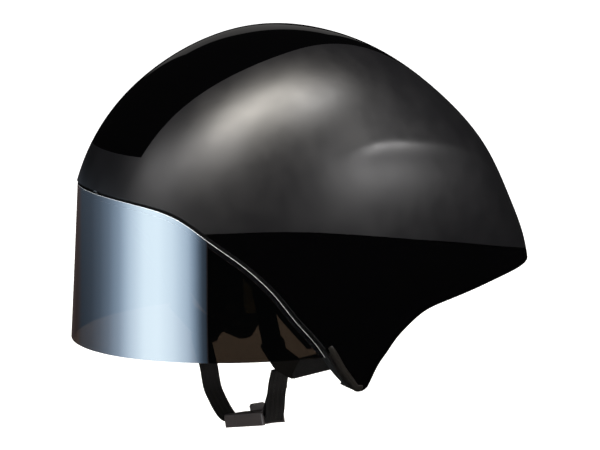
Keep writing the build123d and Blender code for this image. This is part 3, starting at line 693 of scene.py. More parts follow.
def ease_to_crown(path):
    """Adds the points on the crown line where the path leaves it and comes back to it."""
    ends = []
    for point, inner in ((path[0], path[1]), (path[-1], path[-2])):
        line = point + np.linspace(0, 1, 400)[:, None] * (point - inner) * 40
        tilt, radius = fan(line)
        ends.append(line[int(np.argmin(np.abs(radius - crown_radius_at(tilt))))])
    return np.concatenate([ends[:1], path, ends[1:]])


def resample(path, lengths, count):
    """Points at even steps of a running length."""
    places = np.linspace(0, lengths[-1], count)
    return np.stack([np.interp(places, lengths, path[:, k]) for k in range(path.shape[1])], axis=1)


def smoothstep(value, low, high):
    share = np.clip((value - low) / (high - low), 0, 1)
    return share * share * (3 - 2 * share)


RIDGE_LINE = (
    (0.010, 0.026), (0.036, 0.033), (0.062, 0.0355), (0.099, 0.031), (0.141, 0.0215), (0.190, 0.005),
)
RIDGE_FADE = (0.018, 0.060, 0.135, 0.200)
RIDGE_ABOVE = 0.022
RIDGE_BELOW = 0.012


def ridge_height(points, height):
    """How far the soft shoulder ridge stands proud of the form."""
    line = smooth_line(RIDGE_LINE, 200)
    above = points[:, 2] - np.interp(points[:, 1], line[:, 0], line[:, 1])
    flare = np.clip(1 - above / RIDGE_ABOVE, 0, 1) ** 2
    profile = np.where(above > 0, flare, np.exp(-(above / RIDGE_BELOW) ** 2))
    fade = smoothstep(points[:, 1], *RIDGE_FADE[:2]) * (1 - smoothstep(points[:, 1], *RIDGE_FADE[2:]))
    side = smoothstep(np.abs(points[:, 0]), 0.03, 0.05)
    return height * profile * fade * side


STRIPE_TILTS = (-24, -15, -8, -3, 3, 10, 25, 45, 60)
STRIPE_HALF_WIDTHS = (0.0375, 0.0425, 0.0475, 0.0485, 0.0445, 0.0385, 0.030, 0.020, 0.014)


def stripe_field(points, end):
    """Distance inside the crown stripe's edge; negative outside it."""
    tilt = fan(points[:, 1:])[0]
    knots = np.radians(STRIPE_TILTS)[None]
    values = np.array(STRIPE_HALF_WIDTHS)[None, :, None]
    curve = (knots, values, natural_bends(knots, values))
    repeat = [np.repeat(block, len(points), axis=0) for block in curve]
    half = read_curves(*repeat, np.clip(tilt, knots[0, 0], knots[0, -1]))[:, 0]
    return np.minimum(half - np.abs(points[:, 0]), points[:, 2] - end)


def push_out(piece, heights):
    """Moves each vertex along its normal by its own height."""
    normals = np.empty(len(piece.data.vertices) * 3)
    piece.data.vertex_normals.foreach_get("vector", normals)
    moved = vertex_points(piece) + normals.reshape(-1, 3) * heights[:, None]
    piece.data.vertices.foreach_set("co", moved.ravel())
    piece.data.update()


SHELL_CENTRE = (0.0, 0.05, -0.05)


def upper_sheet(columns=230, rows=131):
    """The upper shell's outer surface, rib by rib from its left edge over the crown to its right."""
    path = ease_to_crown(upper_edge())
    tilt, radius = fan(path)
    share = shares_at(tilt, radius)
    share[0] = share[-1] = 0.5
    edge = form_points(tilt, share)
    even = resample(np.stack([tilt, share], axis=1), run_along(edge), columns)
    across = np.linspace(-1, 1, rows)
    tilts = np.repeat(even[:, 0], rows)
    shares = (0.5 + (0.5 - even[:, 1])[:, None] * across[None]).ravel()
    sheet = new_piece("upper_shell_skin", form_points(tilts, shares), grid_faces(columns, rows))
    turn_outwards(sheet)
    return sheet


def fairing_edges(count):
    """The fairing's upper and lower edges at matching tilts, as (tilt, upper radius, lower radius)."""
    trimmed = FACE_LINE[:, 1] <= TRIM_TOP_Z
    low = np.concatenate([
        FACE_LINE[~trimmed], shifted(FACE_LINE, TRIM_WIDTH)[trimmed],
        TIP_LINE[TIP_STEPS_OF_TRIM:], smooth_line(NAPE_EDGE, EDGE_STEPS)[1:],
    ])
    tilt_low, radius_low = fan(low)
    order = np.argsort(tilt_low)
    tilt_up, radius_up = fan(smooth_line(shifted(PARTING, -PARTING_GAP / 2), 1200))
    tilts = np.linspace(tilt_low.min(), tilt_low.max(), 3000)
    upper = np.interp(tilts, tilt_up, radius_up)
    lower = np.interp(tilts, tilt_low[order], radius_low[order])
    crown = crown_radius_at(tilts)
    upper = np.minimum(upper, crown)
    open_part = np.flatnonzero(upper > lower)
    keep = slice(open_part[0], open_part[-1] + 1)
    tilts, upper, lower = tilts[keep], upper[keep], lower[keep]
    run = np.zeros(len(tilts))
    for radius in (upper, lower):
        run += run_along(np.stack([radius * np.sin(tilts), radius * np.cos(tilts)], axis=1))
    return resample(np.stack([tilts, upper, lower], axis=1), run, count)


def fairing_sheet(name, side, columns=300, rows=70):
    """One side fairing's outer surface, from its lower edge up to the parting line."""
    edges = fairing_edges(columns)
    low = shares_at(edges[:, 0], edges[:, 2])
    high = shares_at(edges[:, 0], edges[:, 1])
    across = np.linspace(0, 1, rows)
    shares = (low[:, None] + (high - low)[:, None] * across[None]).ravel()
    points = form_points(np.repeat(edges[:, 0], rows), shares)
    points[:, 0] *= side
    sheet = new_piece(name, points, grid_faces(columns, rows))
    turn_outwards(sheet)
    return sheet


def sweep(name, centres, ways_a, ways_b, profile):
    """A closed tube of one profile along a line; ways_a and ways_b are the profile's axes at each centre."""
    columns, rows = len(centres), len(profile)
    points = (
        centres[:, None] + ways_a[:, None] * profile[None, :, :1] + ways_b[:, None] * profile[None, :, 1:]
    ).reshape(-1, 3)
    faces = grid_faces(columns, rows, closed=True)
    faces += [tuple(reversed(range(rows))), tuple(range((columns - 1) * rows, columns * rows))]
    return new_piece(name, points, faces)


def rounded_profile(half_a, half_b, power, count=28):
    """A rounded rectangle about its centre."""
    turn = np.linspace(0, 2 * np.pi, count, endpoint=False)
    c, s = np.cos(turn), np.sin(turn)
    return np.stack([
        half_a * np.sign(c) * np.abs(c) ** (2 / power), half_b * np.sign(s) * np.abs(s) ** (2 / power)
    ], axis=1)


def unit(vectors):
    return vectors / np.linalg.norm(vectors, axis=-1, keepdims=True)


def trim_tube(name, side):
    """The rounded lip of a tip's front edge, below the visor's corner."""
    face = FACE_LINE[FACE_LINE[:, 1] <= TRIM_TOP_Z + TRIM_RAMP][:-1:6]
    face = np.concatenate([face, TIP_LINE[::3]])
    lines = [fan(shifted(face, width)) for width in (TRIM_WIDTH / 2, TRIM_WIDTH)]
    outer, back = (form_points(tilt, shares_at(tilt, radius)) for tilt, radius in lines)
    along = unit(np.gradient(outer, axis=0))
    behind = unit(back - outer)
    inward = unit(np.cross(along, behind))
    inward *= np.where(inward[:, :1] > 0, -1, 1)
    run = run_along(outer)
    sink = np.clip(1 - np.minimum(run, run[-1] - run) / TRIM_RAMP, 0, 1) ** 2 * TRIM_SINK
    centres = outer + inward * (TRIM_DEPTH / 2 - TRIM_PROUD + sink)[:, None]
    flip = np.array((side, 1, 1))
    profile = rounded_profile(TRIM_WIDTH / 2 - 0.0001, TRIM_DEPTH / 2, 3.2)
    return sweep(name, centres * flip, behind * flip, inward * flip, profile)


class HELMET_OT_upper_shell(bpy.types.Operator):
    """Builds the matte upper shell with its crown stripe and shoulder ridges"""
    bl_idname = "helmet.upper_shell"
    bl_label = "Upper shell"

    def execute(self, context):
        settings = context.scene.helmet_shell
        sheet = upper_sheet()
        push_out(sheet, ridge_height(vertex_points(sheet), settings.ridge))
        thicken(sheet, settings.wall, settings.lip)
        point_attribute(sheet, "stripe", stripe_field(vertex_points(sheet), settings.stripe_end))
        finish_piece(sheet, matte_paint(settings), "shell", "shell_matte", "upper_shell")
        return {"FINISHED"}


class HELMET_OT_fairings(bpy.types.Operator):
    """Builds the two gloss side fairings"""
    bl_idname = "helmet.fairings"
    bl_label = "Side fairings"

    def execute(self, context):
        settings = context.scene.helmet_shell
        material = gloss_paint(settings)
        for side, word in SIDES:
            sheet = fairing_sheet(f"{word}_fairing_skin", side)
            thicken(sheet, settings.wall, settings.lip)
            finish_piece(sheet, material, "shell", "shell_gloss", f"{word}_fairing")
        return {"FINISHED"}


class HELMET_OT_edge_trims(bpy.types.Operator):
    """Builds the satin lips of the tips' front edges"""
    bl_idname = "helmet.edge_trims"
    bl_label = "Edge trims"

    def execute(self, context):
        material = satin_plastic("edge_trim", context.scene.helmet_shell.trim, 0.34, 900.0)
        for side, word in SIDES:
            tube = trim_tube(f"{word}_edge_lip", side)
            finish_piece(tube, material, "shell", "edge_trim", f"{word}_edge_trim")
        return {"FINISHED"}


# Visor

def visor_oval(z):
    """The visor's half width and half length at a height."""
    rise = 1 - z / VISOR_LOW_Z
    return [low + (brow - low) * rise for low, brow in zip(VISOR_LOW_OVAL, VISOR_BROW_OVAL)]


def visor_points(angle, z):
    """Points of the visor's outer face; angle 0 is its front."""
    half_width, half_length = visor_oval(z)
    return np.stack([half_width * np.sin(angle), VISOR_CENTRE_Y - half_length * np.cos(angle), z], axis=1)


def visor_low_z(angle):
    """Height of the visor's lower edge, which rises a little to the front."""
    return VISOR_LOW_Z + VISOR_FRONT_RISE * np.cos(angle)


def visor_high_z(angle):
    """Height of the visor's cut edge, a gap away from the shell's face edge."""
    line = smooth_line(shifted(FACE_EDGE, -VISOR_EDGE_GAP), EDGE_STEPS)
    heights = np.linspace(VISOR_LOW_Z - 0.02, 0.01, 1500)
    top = np.empty(len(angle))
    for i, turn in enumerate(angle):
        points = visor_points(np.full(len(heights), turn), heights)
        above = np.interp(points[:, 1], line[:, 0], line[:, 1]) - heights
        top[i] = heights[int(np.argmax(above < 0))]
    return top


def visor_sheet(columns=260, rows=56):
    """The visor's outer face, and the line of its cut edge."""
    angle = np.linspace(0, math.pi / 2 + 0.2, 1200)
    closed = visor_high_z(angle) <= visor_low_z(angle)
    widest = angle[int(np.argmax(closed))]
    turns = np.linspace(-widest, widest, columns)
    low, high = visor_low_z(turns), np.maximum(visor_high_z(np.abs(turns)), visor_low_z(turns))
    across = np.linspace(0, 1, rows)
    heights = (low[:, None] + (high - low)[:, None] * across[None]).ravel()
    points = visor_points(np.repeat(turns, rows), heights)
    sheet = new_piece("visor_lens_sheet", points, grid_faces(columns, rows))
    turn_outwards(sheet)
    return sheet, visor_points(turns, high)


def distance_to_line(points, line):
    """Each point's distance to the nearest point of a line, worked out in blocks."""
    nearest = np.full(len(points), np.inf)
    for start in range(0, len(points), 4000):
        block = points[start:start + 4000]
        gaps = np.linalg.norm(block[:, None] - line[None], axis=2)
        nearest[start:start + 4000] = gaps.min(axis=1)
    return nearest


class HELMET_OT_visor(bpy.types.Operator):
    """Builds the mirror visor with its printed border"""
    bl_idname = "helmet.visor"
    bl_label = "Visor"

    def execute(self, context):
        settings = context.scene.helmet_visor
        sheet, top_edge = visor_sheet()
        thicken(sheet, VISOR_WALL, VISOR_LIP)
        line = resample(top_edge, np.arange(len(top_edge), dtype=float), 1200)
        point_attribute(sheet, "edge_run", distance_to_line(vertex_points(sheet), line))
        finish_piece(sheet, visor_lens(settings), "visor", "visor_lens", "visor")
        return {"FINISHED"}


# Straps

LEVEL = np.array((0.0, 1.0, 0.0))
SPLITTER_UP = np.array((math.sin(math.radians(SPLITTER_LEAN)), 0, math.cos(math.radians(SPLITTER_LEAN))))


def on_splitter(shares):
    """A point on the left splitter, in shares of its size along it and up it."""
    return np.array(SPLITTER_CENTRE) + SPLITTER_SIZE * (shares[0] * LEVEL + shares[1] * SPLITTER_UP)


def webbing(name, centres, across, width, thickness):
    """Flat webbing along a line, with a UV map in metres: along the strap, and across it."""
    along = unit(np.gradient(centres, axis=0))
    flat = unit(across - along * np.sum(across * along, axis=1, keepdims=True))
    proud = np.cross(along, flat)
    piece = sweep(name, centres, flat, proud, rounded_profile(width / 2, thickness / 2, 5.0, 40))
    run = run_along(centres)
    points = vertex_points(piece)
    uv = piece.data.uv_layers.new(name="weave")
    nearest = np.array([int(np.argmin(np.linalg.norm(centres - p, axis=1))) for p in points])
    offset = points - centres[nearest]
    along_run = run[nearest] + np.sum(offset * along[nearest], axis=1)
    across_run = np.sum(offset * flat[nearest], axis=1)
    loops = np.empty(len(piece.data.loops), int)
    piece.data.loops.foreach_get("vertex_index", loops)
    uv.data.foreach_set("uv", np.stack([along_run[loops], across_run[loops]], axis=1).ravel())
    return piece


def arm_line(stud, end):
    """A strap's arm from a stud to the splitter, with a margin past its eyelet."""
    stud, end = np.array(stud), np.array(end)
    level = unit(np.array((0, end[1] - stud[1], end[2] - stud[2])))
    points = np.array([stud - level * STRAP_MARGIN, stud, stud + level * ARM_BEND_BELOW, end])
    steps = [np.linspace(points[i], points[i + 1], 8)[:-1] for i in range(3)]
    centres = np.concatenate(steps + [points[3:]])
    across = np.cross(np.array((1.0, 0, 0)), end - stud)
    return centres, np.repeat(across[None], len(centres), axis=0)


def guided_line(points, start_way, end_way, steps=20):
    """A smooth line through the points that leaves and arrives along given directions."""
    points = np.asarray(points, float)
    ways = unit(np.concatenate([[start_way], points[2:] - points[:-2], [end_way]]))
    share = np.linspace(0, 1, steps, endpoint=False)[:, None]
    pieces = []
    for first, last, way_a, way_b in zip(points, points[1:], ways, ways[1:]):
        length = np.linalg.norm(last - first)
        bend_a = share * (1 - share) ** 2 * way_a * length
        bend_b = share ** 2 * (1 - share) * way_b * length
        pieces.append(first + (last - first) * share ** 2 * (3 - 2 * share) + bend_a - bend_b)
    return np.concatenate(pieces + [points[-1:]])


def along_buckle(run):
    """A point on the buckle's centre line, measured from where its halves meet."""
    lean = math.radians(BUCKLE_TILT)
    return np.array(BUCKLE_SPLIT) + run * np.array((math.cos(lean), 0, math.sin(lean)))


def chin_lines(thickness):
    """Both chin straps' centre lines: the left turns over the buckle's bar, the right ends in the buckle."""
    bar = along_buckle(BUCKLE_LEFT_LENGTH - BAR_INSET)
    wrap = BAR_RADIUS + BAR_CLEARANCE + thickness / 2
    way = unit((LEFT_CHIN_BEND - bar) * (1, 0, 1))
    side = np.array((way[2], 0, -way[0])) * wrap
    start = on_splitter(CHIN_ARM_SHARES)
    down = -SPLITTER_UP
    left = guided_line([start, LEFT_CHIN_BEND, bar + side], down, -way)
    turns = np.radians(np.linspace(0, 180, 14)[1:-1])[:, None]
    arc = bar + side * np.cos(turns) - way * wrap * np.sin(turns)
    tail = np.linspace(bar - side, bar - side + way * STRAP_TAIL, 14)
    left = np.concatenate([left, arc, tail])
    flip = np.array((-1, 1, 1))
    entry = along_buckle(-BUCKLE_RIGHT_LENGTH - thickness)
    end = along_buckle(-BUCKLE_RIGHT_LENGTH * STRAP_SET_SHARE)
    right = guided_line([start * flip, *RIGHT_CHIN_BENDS, entry], down * flip, end - entry)
    right = np.concatenate([right, np.linspace(entry, end, 5)[1:]])
    return left, right


def geometry_tree(name, inputs, result):
    """A geometry node group with its inputs as (name, kind) pairs, one output, and both end nodes."""
    tree = bpy.data.node_groups.new(name, "GeometryNodeTree")
    for label, kind in inputs:
        tree.interface.new_socket(label, in_out="INPUT", socket_type=f"NodeSocket{kind}")
    tree.interface.new_socket(result, in_out="OUTPUT", socket_type="NodeSocketGeometry")
    made = Nodes(tree)
    return made, made.node("NodeGroupInput"), made.node("NodeGroupOutput")


def give_tree(piece, tree, values):
    """Puts a geometry node group on a piece, with its inputs set by name."""
    modifier = piece.modifiers.new("Nodes", "NODES")
    modifier.node_group = tree
    for item in tree.interface.items_tree:
        if item.name in values and item.in_out == "INPUT":
            modifier[item.identifier] = values[item.name]


def stitch_tree(material):
    """Geometry nodes that lay short stitches along a curve."""
    inputs = (("Curve", "Geometry"), ("Spacing", "Float"), ("Length", "Float"), ("Thread", "Float"))
    made, given, result = geometry_tree("stitches", inputs, "Stitches")
    spaced = made.node("GeometryNodeCurveToPoints", {"mode": "LENGTH"})
    thread = made.node("GeometryNodeMeshUVSphere", Segments=8, Rings=6)
    size = made.node("ShaderNodeCombineXYZ")
    on_points = made.node("GeometryNodeInstanceOnPoints")
    real = made.node("GeometryNodeRealizeInstances")
    finished = made.node("GeometryNodeSetMaterial", Material=material)
    made.join(
        (given, "Curve", spaced, "Curve"), (given, "Spacing", spaced, "Length"),
        (given, "Thread", size, "X"), (given, "Thread", size, "Y"), (given, "Length", size, "Z"),
        (spaced, "Points", on_points, "Points"), (spaced, "Rotation", on_points, "Rotation"),
        (thread, "Mesh", on_points, "Instance"), (size, "Vector", on_points, "Scale"),
        (on_points, "Instances", real, "Geometry"), (real, "Geometry", finished, "Geometry"),
        (finished, "Geometry", result, "Stitches"),
    )
    return made.tree


def stitched(name, lines, tree):
    """A plain mesh of stitches along several lines of points."""
    curve = bpy.data.curves.new(name, "CURVE")
    curve.dimensions = "3D"
    for line in lines:
        spline = curve.splines.new("POLY")
        spline.points.add(len(line) - 1)
        for point, place in zip(spline.points, line):
            point.co = (*place, 1.0)
    rail = add_object(name + "_rail", curve)
    give_tree(rail, tree, STITCHES)
    piece = add_object(name, evaluated_mesh(rail))
    bpy.data.objects.remove(rail)
    piece.data.shade_smooth()
    return piece


class HELMET_OT_straps(bpy.types.Operator):
    """Builds the webbing arms and chin straps with their bar tacks"""
    bl_idname = "helmet.straps"
    bl_label = "Straps"

    def execute(self, context):
        settings = context.scene.helmet_straps
        material = webbing_weave(settings)
        size = (settings.width, settings.thickness)
        tree = stitch_tree(rubber("stitch_thread", (0.03, 0.028, 0.028)))
        chins = dict(zip(("left", "right"), chin_lines(settings.thickness)))
        for side, word in SIDES:
            flip = np.array((side, 1, 1))
            tacks = []
            lines = {"chin": (chins[word], np.repeat(LEVEL[None], len(chins[word]), axis=0))}
            for name, stud, shares in ARMS:
                centres, across = (part * flip for part in arm_line(stud, on_splitter(shares)))
                lines[name] = centres, across
                tacks += self.tack_lines(centres, across, settings)
            for name in ("front", "rear", "chin"):
                strap = webbing(f"{word}_{name}_webbing", *lines[name], *size)
                finish_piece(strap, material, f"{word}_strap", "webbing", f"{word}_{name}_strap")
            tack = stitched(f"{word}_bar_tacks", tacks, tree)
            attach(tack, f"{word}_strap")
        return {"FINISHED"}

    @staticmethod
    def tack_lines(centres, across, settings):
        """Three rows of stitches on each face of an arm, a little below its eyelet."""
        way = unit(centres[-1] - centres[0])
        flat = unit(across[0] - way * np.dot(across[0], way))
        proud = np.cross(way, flat) * settings.thickness / 2
        middle = centres[0] + way * TACK_BELOW
        lines = []
        for row in (-1, 0, 1):
            start = middle + way * row * TACK_ROW_GAP
            ends = [start + flat * share * settings.width for share in (-TACK_SHARE, TACK_SHARE)]
            for face in (-1, 1):
                lines.append([end + proud * face for end in ends])
        return lines


class HELMET_OT_buckle(bpy.types.Operator):
    """Rounds and finishes the splitters, the buckle's halves, its pull tab and its magnets"""
    bl_idname = "helmet.buckle"
    bl_label = "Buckle and splitters"

    def execute(self, context):
        # model.glb's own material, without a grain
        hard = bpy.data.materials["strap_plastic"]
        dull = satin_plastic("splitter_plastic", (0.005, 0.0045, 0.004), 0.5, 900.0, shine=0.06)
        for word in ("left", "right"):
            for node, lip, look in ((f"{word}_splitter", 0.0009, dull), (f"{word}_buckle", 0.0018, hard)):
                piece = softened(node, f"{node}_body", lip)
                finish_piece(piece, look, f"{word}_strap", "strap_plastic", node)
            paint(CAD_NODES[f"{word}_buckle_magnet"], steel())
        tab = softened("buckle_pull_tab", "pull_tab_grip", 0.0012)
        finish_piece(tab, hard, "left_strap", "strap_plastic", "buckle_pull_tab")
        return {"FINISHED"}


# Liner, pads and foam

def wall_point(direction, inset):
    """Where a ray from the cavity's centre meets its wall, drawn in by the inset."""
    a, b = CAVITY_HALF_WIDTH - inset, CAVITY_HALF_LENGTH - inset
    x, y, z = direction[..., 0], direction[..., 1], np.maximum(direction[..., 2], 0)
    reach = 1 / np.sqrt((x / a) ** 2 + (y / b) ** 2 + (z / a) ** 2)
    return direction * reach[..., None] + (0, CAVITY_Y, CAVITY_Z)


def pad_piece(name, centre, half_u, half_v, power, columns=34, rows=26):
    """A crowned pad on the cavity's wall. centre gives where it sits; half_u runs level, half_v runs up."""
    centre = np.array(centre, float) - (0, CAVITY_Y, CAVITY_Z)
    out = unit(centre)
    level = unit(np.cross((0, 0, 1.0), out)) if abs(out[2]) < 0.95 else np.array((1.0, 0, 0))
    rim = rounded_profile(half_u, half_v, power, columns)
    rim = rim[:, :1] * level + rim[:, 1:] * np.cross(out, level)
    rings = np.linspace(0, 1, rows)
    layers = []
    for ring in rings:
        crown = (1 - ring ** 6) ** 0.5
        if ring > PAD_PIPING_START:
            crown *= 1 - PAD_PIPING * math.cos(ring * math.pi * 4)
        height = PAD_THICKNESS * (PAD_RIM_SHARE + (1 - PAD_RIM_SHARE) * crown)
        layers.append(wall_point(centre + ring * rim, PAD_SEAT + height))
    layers += [wall_point(centre + ring * rim, PAD_SEAT) for ring in rings[::-1]]
    return new_piece(name, np.concatenate(layers), grid_faces(2 * rows, columns, closed=True))


PADS = (  # (name, middle, half width, half height, squareness)
    ("brow", (0, -0.100, 0.019), 0.060, 0.0105, 5.0),
    ("crown", (0, CAVITY_Y, 0.076), 0.024, 0.052, 2.0),
    ("left_side", (0.081, 0.012, 0.014), 0.0385, 0.0145, 4.0),
    ("right_side", (-0.081, 0.012, 0.014), 0.0385, 0.0145, 4.0),
)


class HELMET_OT_pads(bpy.types.Operator):
    """Builds the comfort pads, the ear pads and the cradle's pads"""
    bl_idname = "helmet.pads"
    bl_label = "Pads"

    def execute(self, context):
        settings = context.scene.helmet_pads
        fabric = knit("pad_knit", settings.pad, settings.knit_pitch)
        ear = knit("ear_knit", settings.ear, settings.knit_pitch)
        for name, *form in PADS:
            pad = pad_piece(f"{name}_cushion", *form)
            finish_piece(pad, fabric, "liner", "pad_fabric", f"{name}_pad")
        for side, word in SIDES:
            pad = self.ear_strip(f"{word}_ear_cushion", side)
            finish_piece(pad, ear, "shell", "ear_fabric", f"{word}_ear_pad")
        cradle = softened("cradle_pads", "cradle_cushions", 0.0016)
        finish_piece(cradle, fabric, "cradle", "pad_fabric", "cradle_pads")
        return {"FINISHED"}

    @staticmethod
    def ear_strip(name, side):
        """An upright strip of padding on the wall beside the ear."""
        low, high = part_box("left_ear_pad")
        middle_y, half_y = (low.y + high.y) / 2, (high.y - low.y) / 2
        middle_z, half_z = (low.z + high.z) / 2, (high.z - low.z) / 2
        turn = np.linspace(0, 2 * np.pi, 40, endpoint=False)
        c, s = np.cos(turn), np.sin(turn)
        rim_y = half_y * np.sign(c) * np.abs(c) ** 0.4
        rim_z = half_z * np.sign(s) * np.abs(s) ** 0.28
        layers = []
        rings = np.linspace(0, 1, 14)
        for ring, face in [(r, 1) for r in rings] + [(r, 0) for r in rings[::-1]]:
            crown = PAD_RIM_SHARE + (1 - PAD_RIM_SHARE) * (1 - ring ** 5) ** 0.5
            inset = EAR_PAD_SEAT + face * PAD_THICKNESS * crown
            y = middle_y + ring * rim_y
            z = middle_z + ring * rim_z
            reach = (y - CAVITY_Y) / (CAVITY_HALF_LENGTH - inset)
            x = side * (CAVITY_HALF_WIDTH - inset) * np.sqrt(1 - reach ** 2)
            layers.append(np.stack([x, y, z], axis=1))
        return new_piece(name, np.concatenate(layers), grid_faces(len(layers), 40, closed=True))


class HELMET_OT_inside(bpy.types.Operator):
    """Finishes the foam, the slip liner, the visor's ledge, the tail cover and the small fixings"""
    bl_idname = "helmet.inside"
    bl_label = "Foam and liner"

    def execute(self, context):
        black = satin_plastic("moulded_black", (0.012, 0.012, 0.013))
        looks = {
            "foam_core": bead_foam(),
            "slip_liner": satin_plastic("liner_plastic", (0.20, 0.185, 0.035), 0.42),
            "visor_ledge": black,
            "tail_cover": satin_plastic("cover_plastic", context.scene.helmet_shell.paint, 0.42),
            "strap_studs": black,
            "liner_pins": rubber("pin_rubber", (0.02, 0.02, 0.02)),
            "ledge_magnets": steel(),
            "visor_magnets": steel(),
        }
        for node, look in looks.items():
            paint(CAD_NODES[node], look)
        return {"FINISHED"}


# Fit system

def dial_axes():
    """The dial's level, upright and outward directions."""
    fall = math.radians(RING_TILT)
    out = np.array((0, math.cos(fall), -math.sin(fall)))
    level = np.array((1.0, 0, 0))
    return level, np.cross(level, out), out


def rib_tree(material):
    """Geometry nodes that set grip ribs round a circle."""
    inputs = (("Geometry", "Geometry"), ("Count", "Int"), ("Radius", "Float"), ("Rib Radius", "Float"),
              ("Rib Length", "Float"))
    made, given, result = geometry_tree("grip_ribs", inputs, "Ribs")
    circle = made.node("GeometryNodeMeshCircle")
    rib = made.node("GeometryNodeMeshCylinder", Vertices=10)
    on_points = made.node("GeometryNodeInstanceOnPoints")
    real = made.node("GeometryNodeRealizeInstances")
    both = made.node("GeometryNodeJoinGeometry")
    finished = made.node("GeometryNodeSetMaterial", Material=material)
    made.join(
        (given, "Count", circle, "Vertices"), (given, "Radius", circle, "Radius"),
        (given, "Rib Radius", rib, "Radius"), (given, "Rib Length", rib, "Depth"),
        (circle, "Mesh", on_points, "Points"), (rib, "Mesh", on_points, "Instance"),
        (on_points, "Instances", real, "Geometry"), (given, "Geometry", both, "Geometry"),
        (real, "Geometry", both, "Geometry"), (both, "Geometry", finished, "Geometry"),
        (finished, "Geometry", result, "Ribs"),
    )
    return made.tree


DIAL_PROFILE_SHARES = (
    (0.0, 0.0), (0.94, 0.0), (1.0, 0.08), (1.0, 0.80), (0.94, 0.95), (0.84, 1.0), (0.66, 0.96),
    (0.5, 0.84), (0.3, 0.80), (0.0, 0.80),
)


def dial_knob(material):
    """The ribbed knob with a dished face, turned about its axis and then set on it."""
    columns = 96
    turn = np.linspace(0, 2 * np.pi, columns, endpoint=False)
    rings = []
    for share, height in DIAL_PROFILE_SHARES:
        x, y = DIAL_RADIUS * share * np.cos(turn), DIAL_RADIUS * share * np.sin(turn)
        rings.append(np.stack([x, y, np.full(columns, DIAL_HEIGHT * height)], axis=1))
    knob = new_piece("dial_knob", np.concatenate(rings), grid_faces(len(rings), columns, closed=True))
    give_tree(knob, rib_tree(material), {
        "Count": DIAL_RIBS, "Radius": DIAL_RADIUS, "Rib Radius": DIAL_RIB_RADIUS,
        "Rib Length": DIAL_HEIGHT * DIAL_RIB_SHARE,
    })
    settle(knob)
    with edited(knob.data) as tidy:
        bmesh.ops.bisect_plane(tidy, geom=tidy.verts[:] + tidy.edges[:] + tidy.faces[:], plane_co=(0, 0, 0),
                               plane_no=(0, 0, -1), clear_outer=True)
        bmesh.ops.holes_fill(tidy, edges=[e for e in tidy.edges if e.is_boundary], sides=0)
    level, up, out = dial_axes()
    place = Matrix([[*row] for row in np.stack([level, up, out], axis=1)]).to_4x4()
    place.translation = Vector((0, 0, RING_Z)) + Vector(out) * DIAL_SEAT
    knob.data.transform(place)
    return knob


class HELMET_OT_fit_system(bpy.types.Operator):
    """Builds the dial's knob and finishes the cradle, its cover and track, and the bands"""
    bl_idname = "helmet.fit_system"
    bl_label = "Fit system"

    def execute(self, context):
        grip = rubber("dial_rubber", (0.018, 0.018, 0.019))
        knob = dial_knob(grip)
        finish_piece(knob, grip, "dial", "dial_rubber", "fit_dial")
        # model.glb's own material, without a grain
        plastic = bpy.data.materials["fit_plastic"]
        for node, body, lip in (
            ("fit_cradle", "cradle", 0.0005), ("dial_cover", "cradle", 0.0006),
            ("left_band", "left_band", 0.00015), ("right_band", "right_band", 0.00015),
            ("height_track", "shell", 0.0003),
        ):
            piece = softened(node, f"{node}_moulding", lip)
            finish_piece(piece, plastic, body, "fit_plastic", node)
        paint(CAD_NODES["dial_pinion"], plastic)
        return {"FINISHED"}


# Stage

def view_axes(azimuth, elevation):
    """Right, up and towards-the-camera directions of a view; azimuth 0 looks along plus Y."""
    a, e = math.radians(azimuth), math.radians(elevation)
    back = Vector((math.sin(a) * math.cos(e), -math.cos(a) * math.cos(e), math.sin(e)))
    right = Vector((math.cos(a), math.sin(a), 0))
    return right, back.cross(right), back


def aimed(name, data, axes, place):
    """Adds a camera or lamp at a place, looking against the last of a view's axes."""
    thing = add_object(name, data)
    thing.matrix_world = Matrix([[*row, 0] for row in zip(*axes)] + [[0, 0, 0, 1]])
    thing.location = place
    return thing


def add_camera():
    axes = view_axes(CAMERA_AZIMUTH, CAMERA_ELEVATION)
    right, up, back = axes
    data = bpy.data.cameras.new("view")
    data.lens = CAMERA_LENS
    place = back * CAMERA_DISTANCE + right * CAMERA_ASIDE + up * CAMERA_UP
    bpy.context.scene.camera = aimed("view", data, axes, place)


SOFTBOXES = (  # (name, azimuth, elevation, distance, size, power, tone, target)
    ("low", 52, 45, 1.7, (1.2, 0.55), 16.0, (1.0, 0.97, 0.95), (0.068, -0.05, 0.045)),
    ("key", 88, 60, 1.5, (1.2, 0.45), 43.0, (1.0, 0.95, 0.87), (0.068, -0.02, 0.067)),
    ("side", 127, 47, 1.6, (0.5, 0.3), 10.0, (1.0, 0.98, 0.96), (0.080, 0.010, 0.060)),
    ("front", 12, 32, 1.8, (1.1, 0.8), 9.0, (1.0, 0.98, 0.98), (0.056, -0.085, 0.031)),
    ("ridge", 137, 13.5, 1.8, (0.7, 0.12), 12.0, (1.0, 0.98, 0.98), (0.092, 0.055, 0.034)),
    ("tail", 158, 12, 1.8, (0.9, 0.5), 0.3, (0.97, 0.98, 1.0), (0.08, 0.09, 0.0)),
    ("rim", -118, 14, 1.8, (0.9, 0.5), 0.2, (1.0, 0.97, 0.95), (0, -0.05, 0.09)),
)


def add_softbox(name, azimuth, elevation, distance, size, power, tone, target):
    """A rectangular lamp that looks at the target; azimuth and elevation are those of a camera there."""
    axes = view_axes(azimuth, elevation)
    lamp = bpy.data.lights.new(f"{name}_softbox", "AREA")
    lamp.shape = "RECTANGLE"
    lamp.size, lamp.size_y = size
    lamp.energy = power
    lamp.color = tone
    aimed(lamp.name, lamp, axes, Vector(target) + axes[2] * distance)


